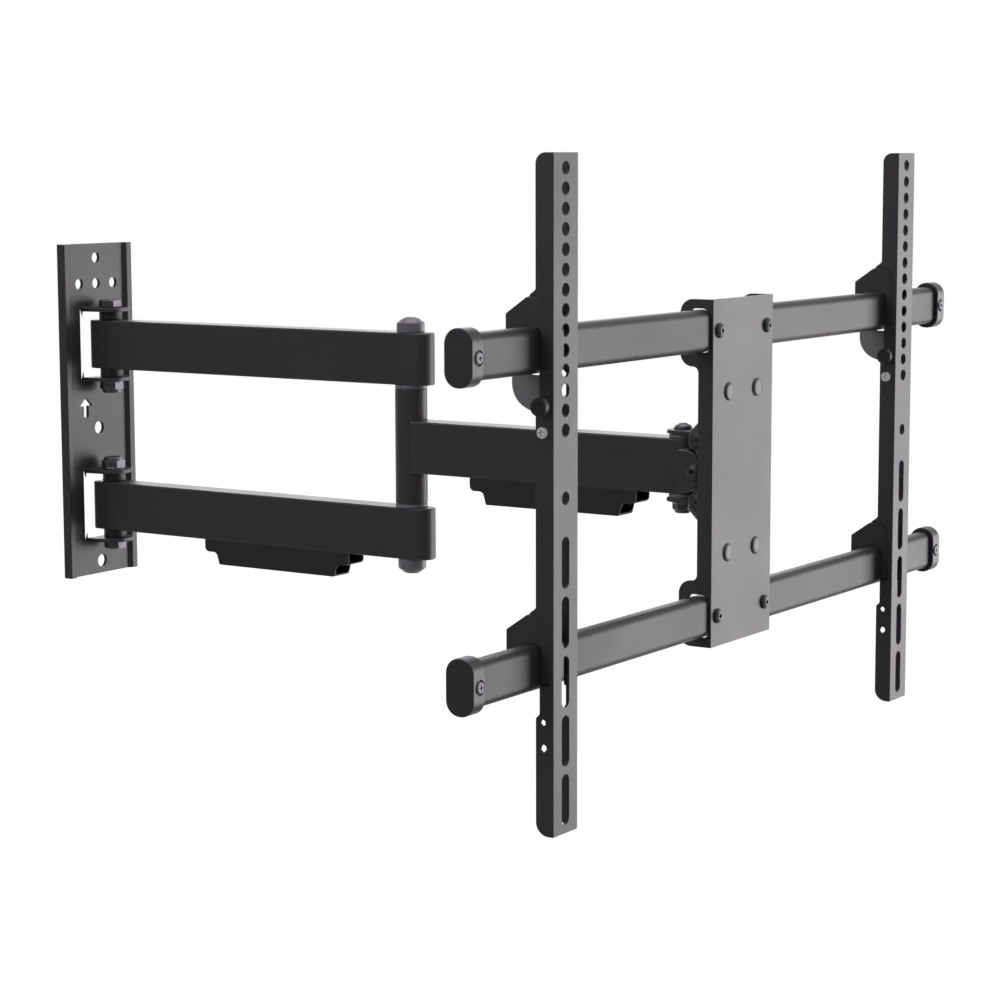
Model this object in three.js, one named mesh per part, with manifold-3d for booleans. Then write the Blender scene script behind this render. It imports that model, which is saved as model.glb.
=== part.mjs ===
// Full-motion TV wall mount: wall plate, two parallel arms, forearm, swivel-and-tilt head, two rails
// and two slotted TV brackets. Millimetres, +Z up, +X along the wall, +Y into the wall.
// The origin is the centre of the wall plate's back face, so the TV side faces -Y.
import * as THREE from "three";
import { mergeVertices } from "three/addons/utils/BufferGeometryUtils.js";
import Module from "manifold-3d";

const wasm = await Module();
wasm.setup();

// ---------------------------------------------------------------- clearances
const SEAT = 0.15; // gap between two faces that rest on each other
const FIT = 0.3; // gap all round a pin in its bore, or a tube in its socket
const WELD = 0.4; // how far two welded pieces of one part run into each other

// ---------------------------------------------------------------- arm linkage
const ARM_LEVEL = -12; // height of the forearm's centre line from the plate's centre
const ARM_SPACING = 134.3; // between the centre lines of the two parallel arms
const ARM_HEIGHT = 40;
const ARM_WIDTH = 21.2;
const ARM_WALL = 2;
const WALL_END_RADIUS = 5; // plan corners of an arm's closed end at the wall
const FREE_END_RADIUS = 9.5; // plan corners of its other end
const WALL_PIVOT = 19.7; // wall to the arms' pivot
const ARM_REACH = 305.6; // wall pivot to elbow
const FOREARM_REACH = 239.1; // elbow to head swivel
const WALL_END_OVERHANG = 15.2; // tube beyond the wall pivot
const ELBOW_END_OVERHANG = 19.5; // tube beyond the elbow pivot
const HEAD_END_OVERHANG = 12.1; // forearm beyond the head swivel
const BUSH_LENGTH = 7.2; // room between a wall ear and the arm
const BUSH_RADIUS = 9;
const BOLT_RADIUS = 5; // M10
const ELBOW_PIN_RADIUS = 6;
const HUB_RADIUS = 12.4;
const HUB_WASHER = 2.6;
const ELBOW_CAP_RADIUS = 10.8;
const ELBOW_CAP_BASE = 7.4;
const ELBOW_CAP_HEIGHT = 11.2;
const ELBOW_PIN_STAND = 4.5; // pin end beyond the arm, inside the cap

// ---------------------------------------------------------------- wall plate
const PLATE_WIDTH = 82;
const PLATE_HEIGHT = 276;
const PLATE_SHEET = 3;
const PLATE_STAND = 2.1; // gap between the wall and the back of the plate's web
const WALL_PAD_WIDTH = 9; // pad behind the web's middle that bears on the wall
const WALL_PAD_HEIGHT = 12;
const RIM_DEPTH = 8.1; // how far the side rims stand off the wall
const RIM_FOOT = 31.4; // where a rim's slope leaves the web, from the plate's middle
const RIM_CREST = 34.8; // where the slope meets the rim's front
const WINDOW_WIDTH = 40.4; // lanced opening that gives the metal for two ears
const EAR_SLIT = 1.9; // side gap between an ear and its window
const EAR_NOSE_RADIUS = 14.2;
const EAR_BEND = 4; // outside bend radius at the plate
const WALL_HOLE_RADIUS = 4.3;
const WALL_HOLE_TOP = 126.2;
const WALL_HOLE_ROW = 105;
const WALL_HOLE_PITCH = 20.5;
const LARGE_HOLE_RADIUS = 5.2;
const LARGE_HOLE_LEVELS = [-15.2, -127.7];
const ARROW_X = -15.4;
const ARROW_TIP = 10.9;
const ARROW_HEIGHT = 16.6;
const ARROW_HEAD_WIDTH = 14.4;
const ARROW_HEAD_HEIGHT = 7;
const ARROW_STEM_WIDTH = 5.2;

// ---------------------------------------------------------------- cable covers
const COVER_LENGTH = 145.4;
const COVER_DEEP_LENGTH = 118.8;
const COVER_HALF_WIDTH = 10.2;
const COVER_WALL = 1.6;
const COVER_SHELF_DEPTH = 9.6; // below the arm, at both ends
const COVER_DEPTH = 19.4; // below the arm, along the middle
const COVER_ROUND = 4;
const COVER_TOE = 1.6; // round at the ends of the trough's floor
const LOWER_COVER_START = 106.2; // wall pivot to the near end of the lower arm's cover
const FOREARM_COVER_START = 60.5; // elbow to the near end of the forearm's cover

// ---------------------------------------------------------------- swivel and tilt head
const SWIVEL_WASHER = 2.8;
const SWIVEL_WASHER_RADIUS = 10;
const SWIVEL_BOLT_RADIUS = 4; // M8
const YOKE_SHEET = 2.8;
const YOKE_EAR_RADIUS = 11.5;
const YOKE_WEB_REACH = 14.6; // swivel axis to the near face of the yoke's web
const YOKE_HALF_WIDTH = 33.7; // outside of the yoke's cheeks
const YOKE_CHEEK_HALF_HEIGHT = 15; // also the radius of the cheek's nose
const YOKE_NOSE_CENTRE = 29.8; // behind the centre plate's face
const TILT_AXIS_DEPTH = 20.5; // tilt bolt behind the centre plate's face
const TILT_BOLT_RADIUS = 3; // M6
const TILT_SHEET = 2.5;
const TILT_WEB_HALF_HEIGHT = 66;
const TILT_LOBE_RADIUS = 7.2;
const TILT_BOSS_RADIUS = 7; // round the tilt bolt's hole
const TILT_LOBE_DEPTH = 19.2; // lobe centres behind the centre plate's face
const TILT_LOBE_HEIGHT = 22; // lobe centres above and below the tilt bolt
const TILT_CHEEK_ROOT = 52; // where the cheek's slope leaves the web, from the tilt bolt
const STOP_HEAD_RADIUS = 6.4;
const STOP_SHANK_RADIUS = 2.5;

// ---------------------------------------------------------------- centre plate and rails
const CENTRE_FACE = 48.1; // swivel axis to the centre plate's front face
const CENTRE_WIDTH = 88.9;
const CENTRE_HEIGHT = 243.6;
const CENTRE_SHEET = 2;
const CENTRE_FLANGE = 11.4; // depth of the side flange between its lobes
const CENTRE_LOBE = 25.8; // depth of the lobes that carry the rails
const CENTRE_LOBE_DROP = 25; // lobe's edge beyond the rail's centre
const SHEET_BEND = 0.9; // outside bend radius, also of the TV brackets
const RAIL_SPACING = 200;
const RAIL_HEIGHT = 29.2;
const RAIL_DEPTH = 14.6;
const RAIL_ROUND = 5.5;
const RAIL_WALL = 1.5;
const RAIL_HALF_SPAN = 341; // centre to the outside of an end cap
const RAIL_HOLE_ROOM = 0.8; // gap between the rail and the flange's cut-out, above and behind
const RAIL_SCREW_X = 35;
const RAIL_SCREW_RADIUS = 3; // M6
const RIVET_X = 20.7;
const RIVET_Z = 56.8;
const RIVET_RADIUS = 3.2;
const RIVET_HEAD_RADIUS = 6.4;
const CAP_HEIGHT = 36.2;
const CAP_DEPTH = 20.5;
const CAP_LENGTH = 12.9;
const CAP_END_WALL = 3;
const CAP_SCREW_INSET = 7.4; // screw from the cap's outer end
const CAP_SCREW_RADIUS = 2;
const CAP_SCREW_HEAD = 3.9;
const CAP_SCREW_RECESS = 4.9;

// ---------------------------------------------------------------- TV brackets
const BRACKET_X = 248.2; // centre of each bracket from the middle of the rails
const BRACKET_LENGTH = 430;
const BRACKET_TOP = 221.9; // above the arms' level
const BRACKET_WIDTH = 29.6;
const BRACKET_DEPTH = 13;
const BRACKET_SHEET = 2;
const BRACKET_TO_RAIL = 10.5; // bracket face to the front of the rail
const NOTCH_DEPTH = 10.2; // left flange's depth where the rail passes
const DEEP_NOTCH_DEPTH = 8; // right flange's depth there
const RELIEF_DEPTH = 3.4; // flange depth left over the hook plate
const HOLE_RADIUS = 4.25;
const HOLE_PITCH = 12.5;
const HOLE_COUNT = 14;
const FIRST_HOLE = 9.5; // from the bracket's top
const LONE_HOLE = 214.8; // from the bracket's top
const FIRST_SLOT = 239.2; // from the bracket's top to the first slot's top
const SLOT_PITCH = 38.1;
const SLOT_LENGTH = 32.9;
const SLOT_COUNT = 5;
const HOOK_SHEET = 2.5;
const HOOK_REACH = 36.5; // back of the hook behind the bracket's face
const HOOK_SHOULDER = 22.3; // top of the hook's back edge, above the rail's centre
const HOOK_SLOPE = 0.69;
const HOOK_DROP = 4; // how far the hook's back leg ends below the rail's centre
const LATCH_PIVOT_DEPTH = 7.6; // behind the bracket's face
const LATCH_PIVOT_DROP = 34.6; // below the rail's centre
const LATCH_SHEET = 2.5;
const LATCH_BOSS = 5.2; // pivot to the latch's near edge
const LATCH_PIN_RADIUS = 2.2;
const LATCH_FAR = 32; // back of the latch behind the bracket's face
const KNOB_RADIUS = 5.8;
const KNOB_LENGTH = 6.4;
const SAFETY_DEPTH = 7.1; // behind the bracket's face
const SAFETY_DROP = 50.8; // safety screw below the rail's centre
const SAFETY_HEAD_RADIUS = 4.1;
const SAFETY_SHANK_RADIUS = 2;

// ---------------------------------------------------------------- derived places
const ARM_HALF = ARM_HEIGHT / 2;
const ARM_OFFSET = ARM_SPACING / 2;
const EAR_INNER = ARM_HALF + BUSH_LENGTH;
const EAR_OUTER = EAR_INNER + PLATE_SHEET;
const ARM_INNER_FACE = ARM_OFFSET - ARM_HALF;
const ELBOW_Y = -(WALL_PIVOT + ARM_REACH);
const SWIVEL_Y = ELBOW_Y - FOREARM_REACH;
const CENTRE_Y = SWIVEL_Y - CENTRE_FACE;
const RAIL_FRONT = CENTRE_SHEET + SEAT; // behind the centre plate's face
const RAIL_MIDDLE = RAIL_FRONT + RAIL_DEPTH / 2;
const BRACKET_Y = CENTRE_Y + RAIL_FRONT - BRACKET_TO_RAIL;
const YOKE_EAR_INNER = ARM_HALF + SWIVEL_WASHER + 2 * SEAT;
const YOKE_EAR_OUTER = YOKE_EAR_INNER + YOKE_SHEET;
const TILT_WEB_FRONT = CENTRE_SHEET + SEAT; // behind the centre plate's face
const TILT_HALF_WIDTH = YOKE_HALF_WIDTH - YOKE_SHEET - FIT;
const RAIL_LEVELS = [RAIL_SPACING / 2, -RAIL_SPACING / 2];

// ---------------------------------------------------------------- materials
function finish(color, roughness, metalness) {
  return new THREE.MeshStandardMaterial({ color, roughness, metalness });
}
const powderCoat = () => finish(0x2a2a2c, 0.42, 0.35);
const blackPlastic = () => finish(0x1b1b1d, 0.6, 0);
const blackSteel = () => finish(0x3a3a3c, 0.35, 0.7);
const latchSteel = () => finish(0x4f4d50, 0.45, 0.5);
const zincSteel = () => finish(0xc9cacc, 0.3, 0.9);

// ---------------------------------------------------------------- outlines
/** Corners as [x, y, radius]; each corner with a radius becomes an arc. */
function rounded(corners, stepsPerQuarter = 4) {
  const points = [];
  corners.forEach(([x, y, radius = 0], i) => {
    const at = new THREE.Vector2(x, y);
    if (!radius) {
      points.push(at);
      return;
    }
    const before = corners[(i + corners.length - 1) % corners.length];
    const after = corners[(i + 1) % corners.length];
    const back = new THREE.Vector2(before[0], before[1]).sub(at).normalize();
    const ahead = new THREE.Vector2(after[0], after[1]).sub(at).normalize();
    const half = Math.acos(THREE.MathUtils.clamp(back.dot(ahead), -1, 1)) / 2;
    const middle = back.clone().add(ahead).normalize();
    const centre = at.clone().addScaledVector(middle, radius / Math.sin(half));
    const sweep = Math.PI - 2 * half;
    const turn = back.cross(ahead) > 0 ? -1 : 1;
    const steps = Math.max(1, Math.round((sweep / (Math.PI / 2)) * stepsPerQuarter));
    for (let s = 0; s <= steps; s++) {
      const angle = turn * sweep * (s / steps - 0.5);
      const spoke = middle.clone().multiplyScalar(-radius);
      points.push(spoke.rotateAround(new THREE.Vector2(), angle).add(centre));
    }
  });
  return points;
}

function rectangle(x0, x1, y0, y1, radius = 0, stepsPerQuarter = 4) {
  const corners = [[x0, y0, radius], [x1, y0, radius], [x1, y1, radius], [x0, y1, radius]];
  return rounded(corners, stepsPerQuarter);
}

function circle(x, y, radius, segments = 20) {
  return Array.from({ length: segments }, (_, i) => {
    const angle = (i / segments) * 2 * Math.PI;
    return new THREE.Vector2(x + radius * Math.cos(angle), y + radius * Math.sin(angle));
  });
}

/** Upright slot with round ends, from y0 to y1 overall. */
function slot(x, y0, y1, radius) {
  return rectangle(x - radius, x + radius, y0, y1, radius * 0.999, 3);
}

// ---------------------------------------------------------------- solids
function solidOf(geometry) {
  geometry.deleteAttribute("normal");
  geometry.deleteAttribute("uv");
  const merged = mergeVertices(geometry, 1e-4);
  return new wasm.Manifold(new wasm.Mesh({
    numProp: 3,
    vertProperties: merged.attributes.position.array,
    triVerts: new Uint32Array(merged.index.array),
  }));
}

const unit = {
  x: new THREE.Vector3(1, 0, 0),
  y: new THREE.Vector3(0, 1, 0),
  z: new THREE.Vector3(0, 0, 1),
};
const frames = {
  x: new THREE.Matrix4().makeBasis(unit.y, unit.z, unit.x), // outline in (y, z), drawn out along x
  y: new THREE.Matrix4().makeBasis(unit.z, unit.x, unit.y), // outline in (z, x), drawn out along y
  z: new THREE.Matrix4(), // outline in (x, y), drawn out along z
};

/** An outline with holes, drawn out along an axis from one place to another. */
function prism(axis, outline, from, to, holes = []) {
  // Across y an outline is given in (x, z); every outline runs anticlockwise.
  const prepared = (points) => {
    const inFrame = axis === "y" ? points.map((p) => new THREE.Vector2(p.y, p.x)) : [...points];
    return THREE.ShapeUtils.isClockWise(inFrame) ? inFrame.reverse() : inFrame;
  };
  const shape = new THREE.Shape(prepared(outline));
  shape.holes = holes.map((hole) => new THREE.Path(prepared(hole)));
  const geometry = new THREE.ExtrudeGeometry(shape, { depth: to - from, bevelEnabled: false, steps: 1 });
  geometry.translate(0, 0, from);
  geometry.applyMatrix4(frames[axis]);
  return solidOf(geometry);
}

/** A solid of revolution about Z from [radius, z] points that start and end on the axis. */
function turned(profile, segments = 18) {
  const points = profile.map(([radius, z]) => new THREE.Vector2(radius, z));
  const geometry = new THREE.LatheGeometry(points, segments);
  geometry.rotateX(Math.PI / 2);
  return solidOf(geometry);
}

/** A hexagon with the given distance across its flats. */
const hexagon = (acrossFlats) => circle(0, 0, acrossFlats / Math.sqrt(3), 6);

const union = (first, ...rest) => rest.reduce((sum, next) => sum.add(next), first);
const cut = (first, ...rest) => rest.reduce((left, next) => left.subtract(next), first);

/** A named mesh from a solid, placed in its group. */
function part(name, solid, material, x = 0, y = 0, z = 0) {
  const { vertProperties, triVerts } = solid.getMesh();
  const indexed = new THREE.BufferGeometry();
  indexed.setAttribute("position", new THREE.BufferAttribute(vertProperties, 3));
  indexed.setIndex(new THREE.BufferAttribute(triVerts, 1));
  const geometry = indexed.toNonIndexed();
  geometry.computeVertexNormals();
  const mesh = new THREE.Mesh(geometry, material);
  mesh.name = name;
  mesh.position.set(x, y, z);
  return mesh;
}

function assembly(name, x, y, z) {
  const group = new THREE.Group();
  group.name = name;
  group.position.set(x, y, z);
  return group;
}

// ---------------------------------------------------------------- fasteners, all along Z
/** Hexagon head above z = 0 and a shank down to -length. */
function hexBolt(acrossFlats, head, radius, length) {
  const top = prism("z", hexagon(acrossFlats), 0, head);
  return union(top, prism("z", circle(0, 0, radius, 20), -length, WELD));
}

function hexNut(acrossFlats, height, bore) {
  const collar = turned([[0, 0], [acrossFlats * 0.55, 0], [acrossFlats * 0.55, 1.4], [0, 1.4]]);
  const body = union(prism("z", hexagon(acrossFlats), 1, height), collar);
  return cut(body, prism("z", circle(0, 0, bore, 20), -1, height - 1.5));
}

function ring(outer, inner, height) {
  return prism("z", circle(0, 0, outer, 24), 0, height, [circle(0, 0, inner, 20)]);
}

/** Low domed head above z = 0 with a hexagon socket, and a shank down to -length. */
function buttonScrew(headRadius, head, radius, length, socket) {
  const dome = turned([
    [0, 0], [headRadius, 0], [headRadius, head * 0.35], [headRadius * 0.7, head], [0, head],
  ], 16);
  const shank = prism("z", circle(0, 0, radius, 14), -length, WELD);
  return cut(union(dome, shank), prism("z", hexagon(socket), head * 0.35, head + 1));
}

/** Flat head with a cross recess, and a shank down to -length. */
function crossScrew(headRadius, head, radius, length) {
  const body = turned([
    [0, 0], [headRadius, 0], [headRadius, head * 0.6], [headRadius * 0.8, head], [0, head],
  ], 16);
  const shank = prism("z", circle(0, 0, radius, 12), -length, WELD);
  const half = headRadius * 0.12;
  const arm = headRadius * 0.5;
  const recess = union(
    prism("z", rectangle(-arm, arm, -half, half), head * 0.4, head + 1),
    prism("z", rectangle(-half, half, -arm, arm), head * 0.4, head + 1),
  );
  return cut(union(body, shank), recess);
}

const headTowards = {
  front: (solid) => solid.rotate([90, 0, 0]), // +Z to -Y
  left: (solid) => solid.rotate([0, -90, 0]), // +Z to -X
  right: (solid) => solid.rotate([0, 90, 0]), // +Z to +X
  down: (solid) => solid.rotate([180, 0, 0]),
};

// ---------------------------------------------------------------- wall plate
function wallPlate() {
  const half = PLATE_WIDTH / 2;
  const top = PLATE_HEIGHT / 2;
  const bore = BOLT_RADIUS + FIT;
  const back = -PLATE_STAND;
  const face = back - PLATE_SHEET;
  const rimBack = PLATE_SHEET - RIM_DEPTH;
  // Section in plan: a flat web, and on each side a raised rim whose outer wall returns to the wall.
  const side = (s) => [
    [s * (RIM_FOOT + 1.6), back, 1.5], [s * (RIM_CREST + 1.2), rimBack, 0.6],
    [s * (half - PLATE_SHEET), rimBack, 0.6], [s * (half - PLATE_SHEET), 0], [s * half, 0],
    [s * half, -RIM_DEPTH, 0.9], [s * RIM_CREST, -RIM_DEPTH, 0.9], [s * RIM_FOOT, face, 0.9],
  ];
  const section = rounded([...side(1), ...side(-1).reverse()], 3);
  const holes = [
    [0, WALL_HOLE_TOP, WALL_HOLE_RADIUS],
    ...[-1, 0, 1].map((k) => [k * WALL_HOLE_PITCH, WALL_HOLE_ROW, WALL_HOLE_RADIUS]),
    ...LARGE_HOLE_LEVELS.map((z) => [0, z, LARGE_HOLE_RADIUS]),
  ];
  const head = ARROW_HEAD_WIDTH / 2;
  const stem = ARROW_STEM_WIDTH / 2;
  const shoulder = ARROW_TIP - ARROW_HEAD_HEIGHT;
  const foot = ARROW_TIP - ARROW_HEIGHT;
  const arrow = rounded([
    [ARROW_X, ARROW_TIP], [ARROW_X - head, shoulder], [ARROW_X - stem, shoulder], [ARROW_X - stem, foot],
    [ARROW_X + stem, foot], [ARROW_X + stem, shoulder], [ARROW_X + head, shoulder],
  ]);
  const padHalf = WALL_PAD_WIDTH / 2;
  const pad = rectangle(-padHalf, padHalf, -WALL_PAD_HEIGHT / 2, WALL_PAD_HEIGHT / 2, 2, 2);
  let plate = union(prism("z", section, -top, top), prism("y", pad, back - WELD, 0));
  const front = -RIM_DEPTH - 1;
  for (const [x, z, radius] of holes) plate = cut(plate, prism("y", circle(x, z, radius), front, 1));
  plate = cut(plate, prism("y", arrow, front, 1));
  for (const level of [ARM_LEVEL + ARM_OFFSET, ARM_LEVEL - ARM_OFFSET]) {
    const windowHalf = WINDOW_WIDTH / 2;
    const window = rectangle(-windowHalf, windowHalf, level - EAR_OUTER, level + EAR_OUTER, 1.5, 2);
    plate = cut(plate, prism("y", window, front, 1));
    for (const s of [1, -1]) {
      // The ear's side view: a quarter bend out of the plate, then straight forwards.
      const reach = -(WALL_PIVOT + EAR_NOSE_RADIUS);
      const inner = level + s * EAR_INNER;
      const outer = level + s * EAR_OUTER;
      const profile = rounded([
        [back, outer + s * 2], [back, inner, EAR_BEND], [reach, inner], [reach, outer],
        [face, outer, 1], [face, outer + s * 2],
      ], 3);
      const earHalf = WINDOW_WIDTH / 2 - EAR_SLIT;
      const strip = prism("x", profile, -earHalf, earHalf);
      const nose = EAR_NOSE_RADIUS;
      const plan = rounded([
        [-earHalf, 1], [-earHalf, -9], [-nose, reach, nose * 0.98],
        [nose, reach, nose * 0.98], [earHalf, -9], [earHalf, 1],
      ], 6);
      const blank = prism("z", plan, Math.min(inner, inner + s * 10), Math.max(inner, inner + s * 10));
      const hole = prism("z", circle(0, -WALL_PIVOT, bore, 24), level - 40, level + 40);
      plate = union(plate, cut(strip.intersect(blank), hole));
    }
  }
  return plate;
}

function buildWall() {
  const group = assembly("wall", 0, 0, 0);
  group.add(part("wall_plate", wallPlate(), powderCoat()));
  const span = 2 * EAR_OUTER + 2 * SEAT;
  const nutHeight = 10.2;
  const bolt = hexBolt(16, 6.4, BOLT_RADIUS, span + nutHeight - 2);
  const nut = hexNut(17, nutHeight, BOLT_RADIUS + SEAT);
  const bush = ring(BUSH_RADIUS, BOLT_RADIUS + FIT, BUSH_LENGTH - 2 * SEAT);
  // The upper bolt drops in from above and the lower one comes up from below.
  for (const [where, up] of [["upper", 1], ["lower", -1]]) {
    const level = ARM_LEVEL + up * ARM_OFFSET;
    const facing = (solid) => (up > 0 ? solid : headTowards.down(solid));
    const opposite = (solid) => (up > 0 ? headTowards.down(solid) : solid);
    const seat = up * (EAR_OUTER + SEAT);
    group.add(part(`wall_bolt_${where}`, facing(bolt), blackSteel(), 0, -WALL_PIVOT, level + seat));
    group.add(part(`wall_nut_${where}`, opposite(nut), blackSteel(), 0, -WALL_PIVOT, level - seat));
    group.add(part(`wall_bush_${where}_top`, bush, blackPlastic(), 0, -WALL_PIVOT, level + ARM_HALF + SEAT));
    const underside = level - EAR_INNER + SEAT;
    group.add(part(`wall_bush_${where}_bottom`, bush, blackPlastic(), 0, -WALL_PIVOT, underside));
  }
  return group;
}

// ---------------------------------------------------------------- arms
/** Closed box-section tube along -Y with its first pivot at y = 0. */
function armTube(near, reach, far) {
  const outline = (inset) => {
    const half = ARM_WIDTH / 2 - inset;
    const ends = [-reach - far + inset, near - inset];
    const [free, wall] = [FREE_END_RADIUS - inset, WALL_END_RADIUS - inset];
    return rounded([
      [-half, ends[0], free], [half, ends[0], free], [half, ends[1], wall], [-half, ends[1], wall],
    ], 5);
  };
  const shell = prism("z", outline(0), -ARM_HALF, ARM_HALF);
  return cut(shell, prism("z", outline(ARM_WALL), -ARM_HALF + ARM_WALL, ARM_HALF - ARM_WALL));
}

const bore = (radius, y) => prism("z", circle(0, y, radius, 24), -ARM_HALF - 1, ARM_HALF + 1);

/** Two-level plastic trough that clips under an arm and hides the cables. */
function cableCover() {
  const y0 = -COVER_LENGTH;
  const step = (COVER_LENGTH - COVER_DEEP_LENGTH) / 2;
  const outline = rounded([
    [0, 0], [0, -COVER_SHELF_DEPTH, COVER_ROUND], [1.4 - step, -COVER_SHELF_DEPTH, COVER_ROUND],
    [-1.4 - step, -COVER_DEPTH, COVER_TOE], [y0 + step + 1.4, -COVER_DEPTH, COVER_TOE],
    [y0 + step - 1.4, -COVER_SHELF_DEPTH, COVER_ROUND], [y0, -COVER_SHELF_DEPTH, COVER_ROUND], [y0, 0],
  ], 3);
  const inner = COVER_HALF_WIDTH - COVER_WALL;
  const shelf = -COVER_SHELF_DEPTH + COVER_WALL;
  const floor = -COVER_DEPTH + COVER_WALL;
  const upper = rectangle(y0 - 1, 1, shelf, 1);
  const inset = step + COVER_WALL + 1.6;
  const well = rectangle(y0 + inset, -inset, floor, 1);
  return cut(
    prism("x", outline, -COVER_HALF_WIDTH, COVER_HALF_WIDTH),
    prism("x", upper, -inner, inner), prism("x", well, -inner, inner),
  );
}

function buildArms() {
  const group = assembly("arms", 0, -WALL_PIVOT, ARM_LEVEL);
  const tube = cut(
    armTube(WALL_END_OVERHANG, ARM_REACH, ELBOW_END_OVERHANG),
    bore(BOLT_RADIUS + FIT, 0), bore(ELBOW_PIN_RADIUS + FIT, -ARM_REACH),
  );
  group.add(part("upper_arm", tube, powderCoat(), 0, 0, ARM_OFFSET));
  group.add(part("lower_arm", tube, powderCoat(), 0, 0, -ARM_OFFSET));
  const under = -ARM_OFFSET - ARM_HALF - SEAT;
  group.add(part("lower_arm_cable_cover", cableCover(), blackPlastic(), 0, -LOWER_COVER_START, under));

  const outerFace = ARM_OFFSET + ARM_HALF;
  const pinHalf = outerFace + ELBOW_PIN_STAND;
  const pin = prism("z", circle(0, 0, ELBOW_PIN_RADIUS, 24), -pinHalf, pinHalf);
  group.add(part("elbow_pin", pin, blackSteel(), 0, -ARM_REACH));
  const cap = cut(
    turned([
      [0, 0], [ELBOW_CAP_RADIUS, 0], [ELBOW_CAP_RADIUS, ELBOW_CAP_BASE],
      [ELBOW_CAP_RADIUS - 1.6, ELBOW_CAP_BASE + 1.4], [7.6, ELBOW_CAP_BASE + 1.6],
      [6.6, ELBOW_CAP_HEIGHT - 1], [4.8, ELBOW_CAP_HEIGHT], [0, ELBOW_CAP_HEIGHT],
    ], 24),
    prism("z", circle(0, 0, ELBOW_PIN_RADIUS + FIT, 20), -1, ELBOW_PIN_STAND + FIT),
  );
  group.add(part("elbow_cap_top", cap, blackPlastic(), 0, -ARM_REACH, outerFace + SEAT));
  const capBelow = headTowards.down(cap);
  group.add(part("elbow_cap_bottom", capBelow, blackPlastic(), 0, -ARM_REACH, -outerFace - SEAT));
  const washer = ring(HUB_RADIUS, ELBOW_PIN_RADIUS + FIT, HUB_WASHER);
  const washerFoot = ARM_INNER_FACE - HUB_WASHER - SEAT;
  group.add(part("elbow_washer_top", washer, blackPlastic(), 0, -ARM_REACH, washerFoot));
  group.add(part("elbow_washer_bottom", washer, blackPlastic(), 0, -ARM_REACH, -ARM_INNER_FACE + SEAT));
  return group;
}

function buildForearm() {
  const group = assembly("forearm_group", 0, ELBOW_Y, ARM_LEVEL);
  const hubHalf = ARM_INNER_FACE - HUB_WASHER - 2 * SEAT;
  const swivelBore = bore(SWIVEL_BOLT_RADIUS + FIT, -FOREARM_REACH);
  const tube = cut(armTube(0, FOREARM_REACH, HEAD_END_OVERHANG), swivelBore);
  const hub = prism("z", circle(0, 0, HUB_RADIUS, 36), -hubHalf, hubHalf);
  const pinBore = prism("z", circle(0, 0, ELBOW_PIN_RADIUS + FIT, 24), -hubHalf - 1, hubHalf + 1);
  const forearm = cut(union(tube, hub), pinBore);
  group.add(part("forearm", forearm, powderCoat()));
  const under = -ARM_HALF - SEAT;
  group.add(part("forearm_cable_cover", cableCover(), blackPlastic(), 0, -FOREARM_COVER_START, under));
  return group;
}

// ---------------------------------------------------------------- swivel head
/** Yoke: two ears on the forearm's end, a web, and two cheeks with round noses for the tilt bolt. */
function swivelYoke() {
  const webFar = -YOKE_WEB_REACH - YOKE_SHEET;
  const earRadius = YOKE_EAR_RADIUS;
  const ear = prism(
    "z",
    rounded([
      [-earRadius, webFar], [earRadius, webFar],
      [earRadius, earRadius, earRadius * 0.98], [-earRadius, earRadius, earRadius * 0.98],
    ], 6),
    YOKE_EAR_INNER, YOKE_EAR_OUTER, [circle(0, 0, SWIVEL_BOLT_RADIUS + FIT, 20)],
  );
  const web = rounded([
    [-YOKE_EAR_RADIUS, -YOKE_EAR_OUTER], [YOKE_EAR_RADIUS, -YOKE_EAR_OUTER],
    [YOKE_EAR_RADIUS, -YOKE_CHEEK_HALF_HEIGHT, 3], [YOKE_HALF_WIDTH, -YOKE_CHEEK_HALF_HEIGHT],
    [YOKE_HALF_WIDTH, YOKE_CHEEK_HALF_HEIGHT], [YOKE_EAR_RADIUS, YOKE_CHEEK_HALF_HEIGHT, 3],
    [YOKE_EAR_RADIUS, YOKE_EAR_OUTER], [-YOKE_EAR_RADIUS, YOKE_EAR_OUTER],
    [-YOKE_EAR_RADIUS, YOKE_CHEEK_HALF_HEIGHT, 3], [-YOKE_HALF_WIDTH, YOKE_CHEEK_HALF_HEIGHT],
    [-YOKE_HALF_WIDTH, -YOKE_CHEEK_HALF_HEIGHT], [-YOKE_EAR_RADIUS, -YOKE_CHEEK_HALF_HEIGHT, 3],
  ], 3);
  const noseTip = -CENTRE_FACE + YOKE_NOSE_CENTRE - YOKE_CHEEK_HALF_HEIGHT;
  const tilt = -CENTRE_FACE + TILT_AXIS_DEPTH;
  const nose = YOKE_CHEEK_HALF_HEIGHT;
  const cheek = rounded([
    [-YOKE_WEB_REACH, -nose], [-YOKE_WEB_REACH, nose],
    [noseTip, nose, nose * 0.98], [noseTip, -nose, nose * 0.98],
  ], 7);
  const hole = [circle(tilt, 0, TILT_BOLT_RADIUS + FIT, 20)];
  return union(
    prism("y", web, webFar, -YOKE_WEB_REACH),
    ear, ear.mirror([0, 0, 1]),
    prism("x", cheek, YOKE_HALF_WIDTH - YOKE_SHEET, YOKE_HALF_WIDTH, hole),
    prism("x", cheek, -YOKE_HALF_WIDTH, -YOKE_HALF_WIDTH + YOKE_SHEET, hole),
  );
}

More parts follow.
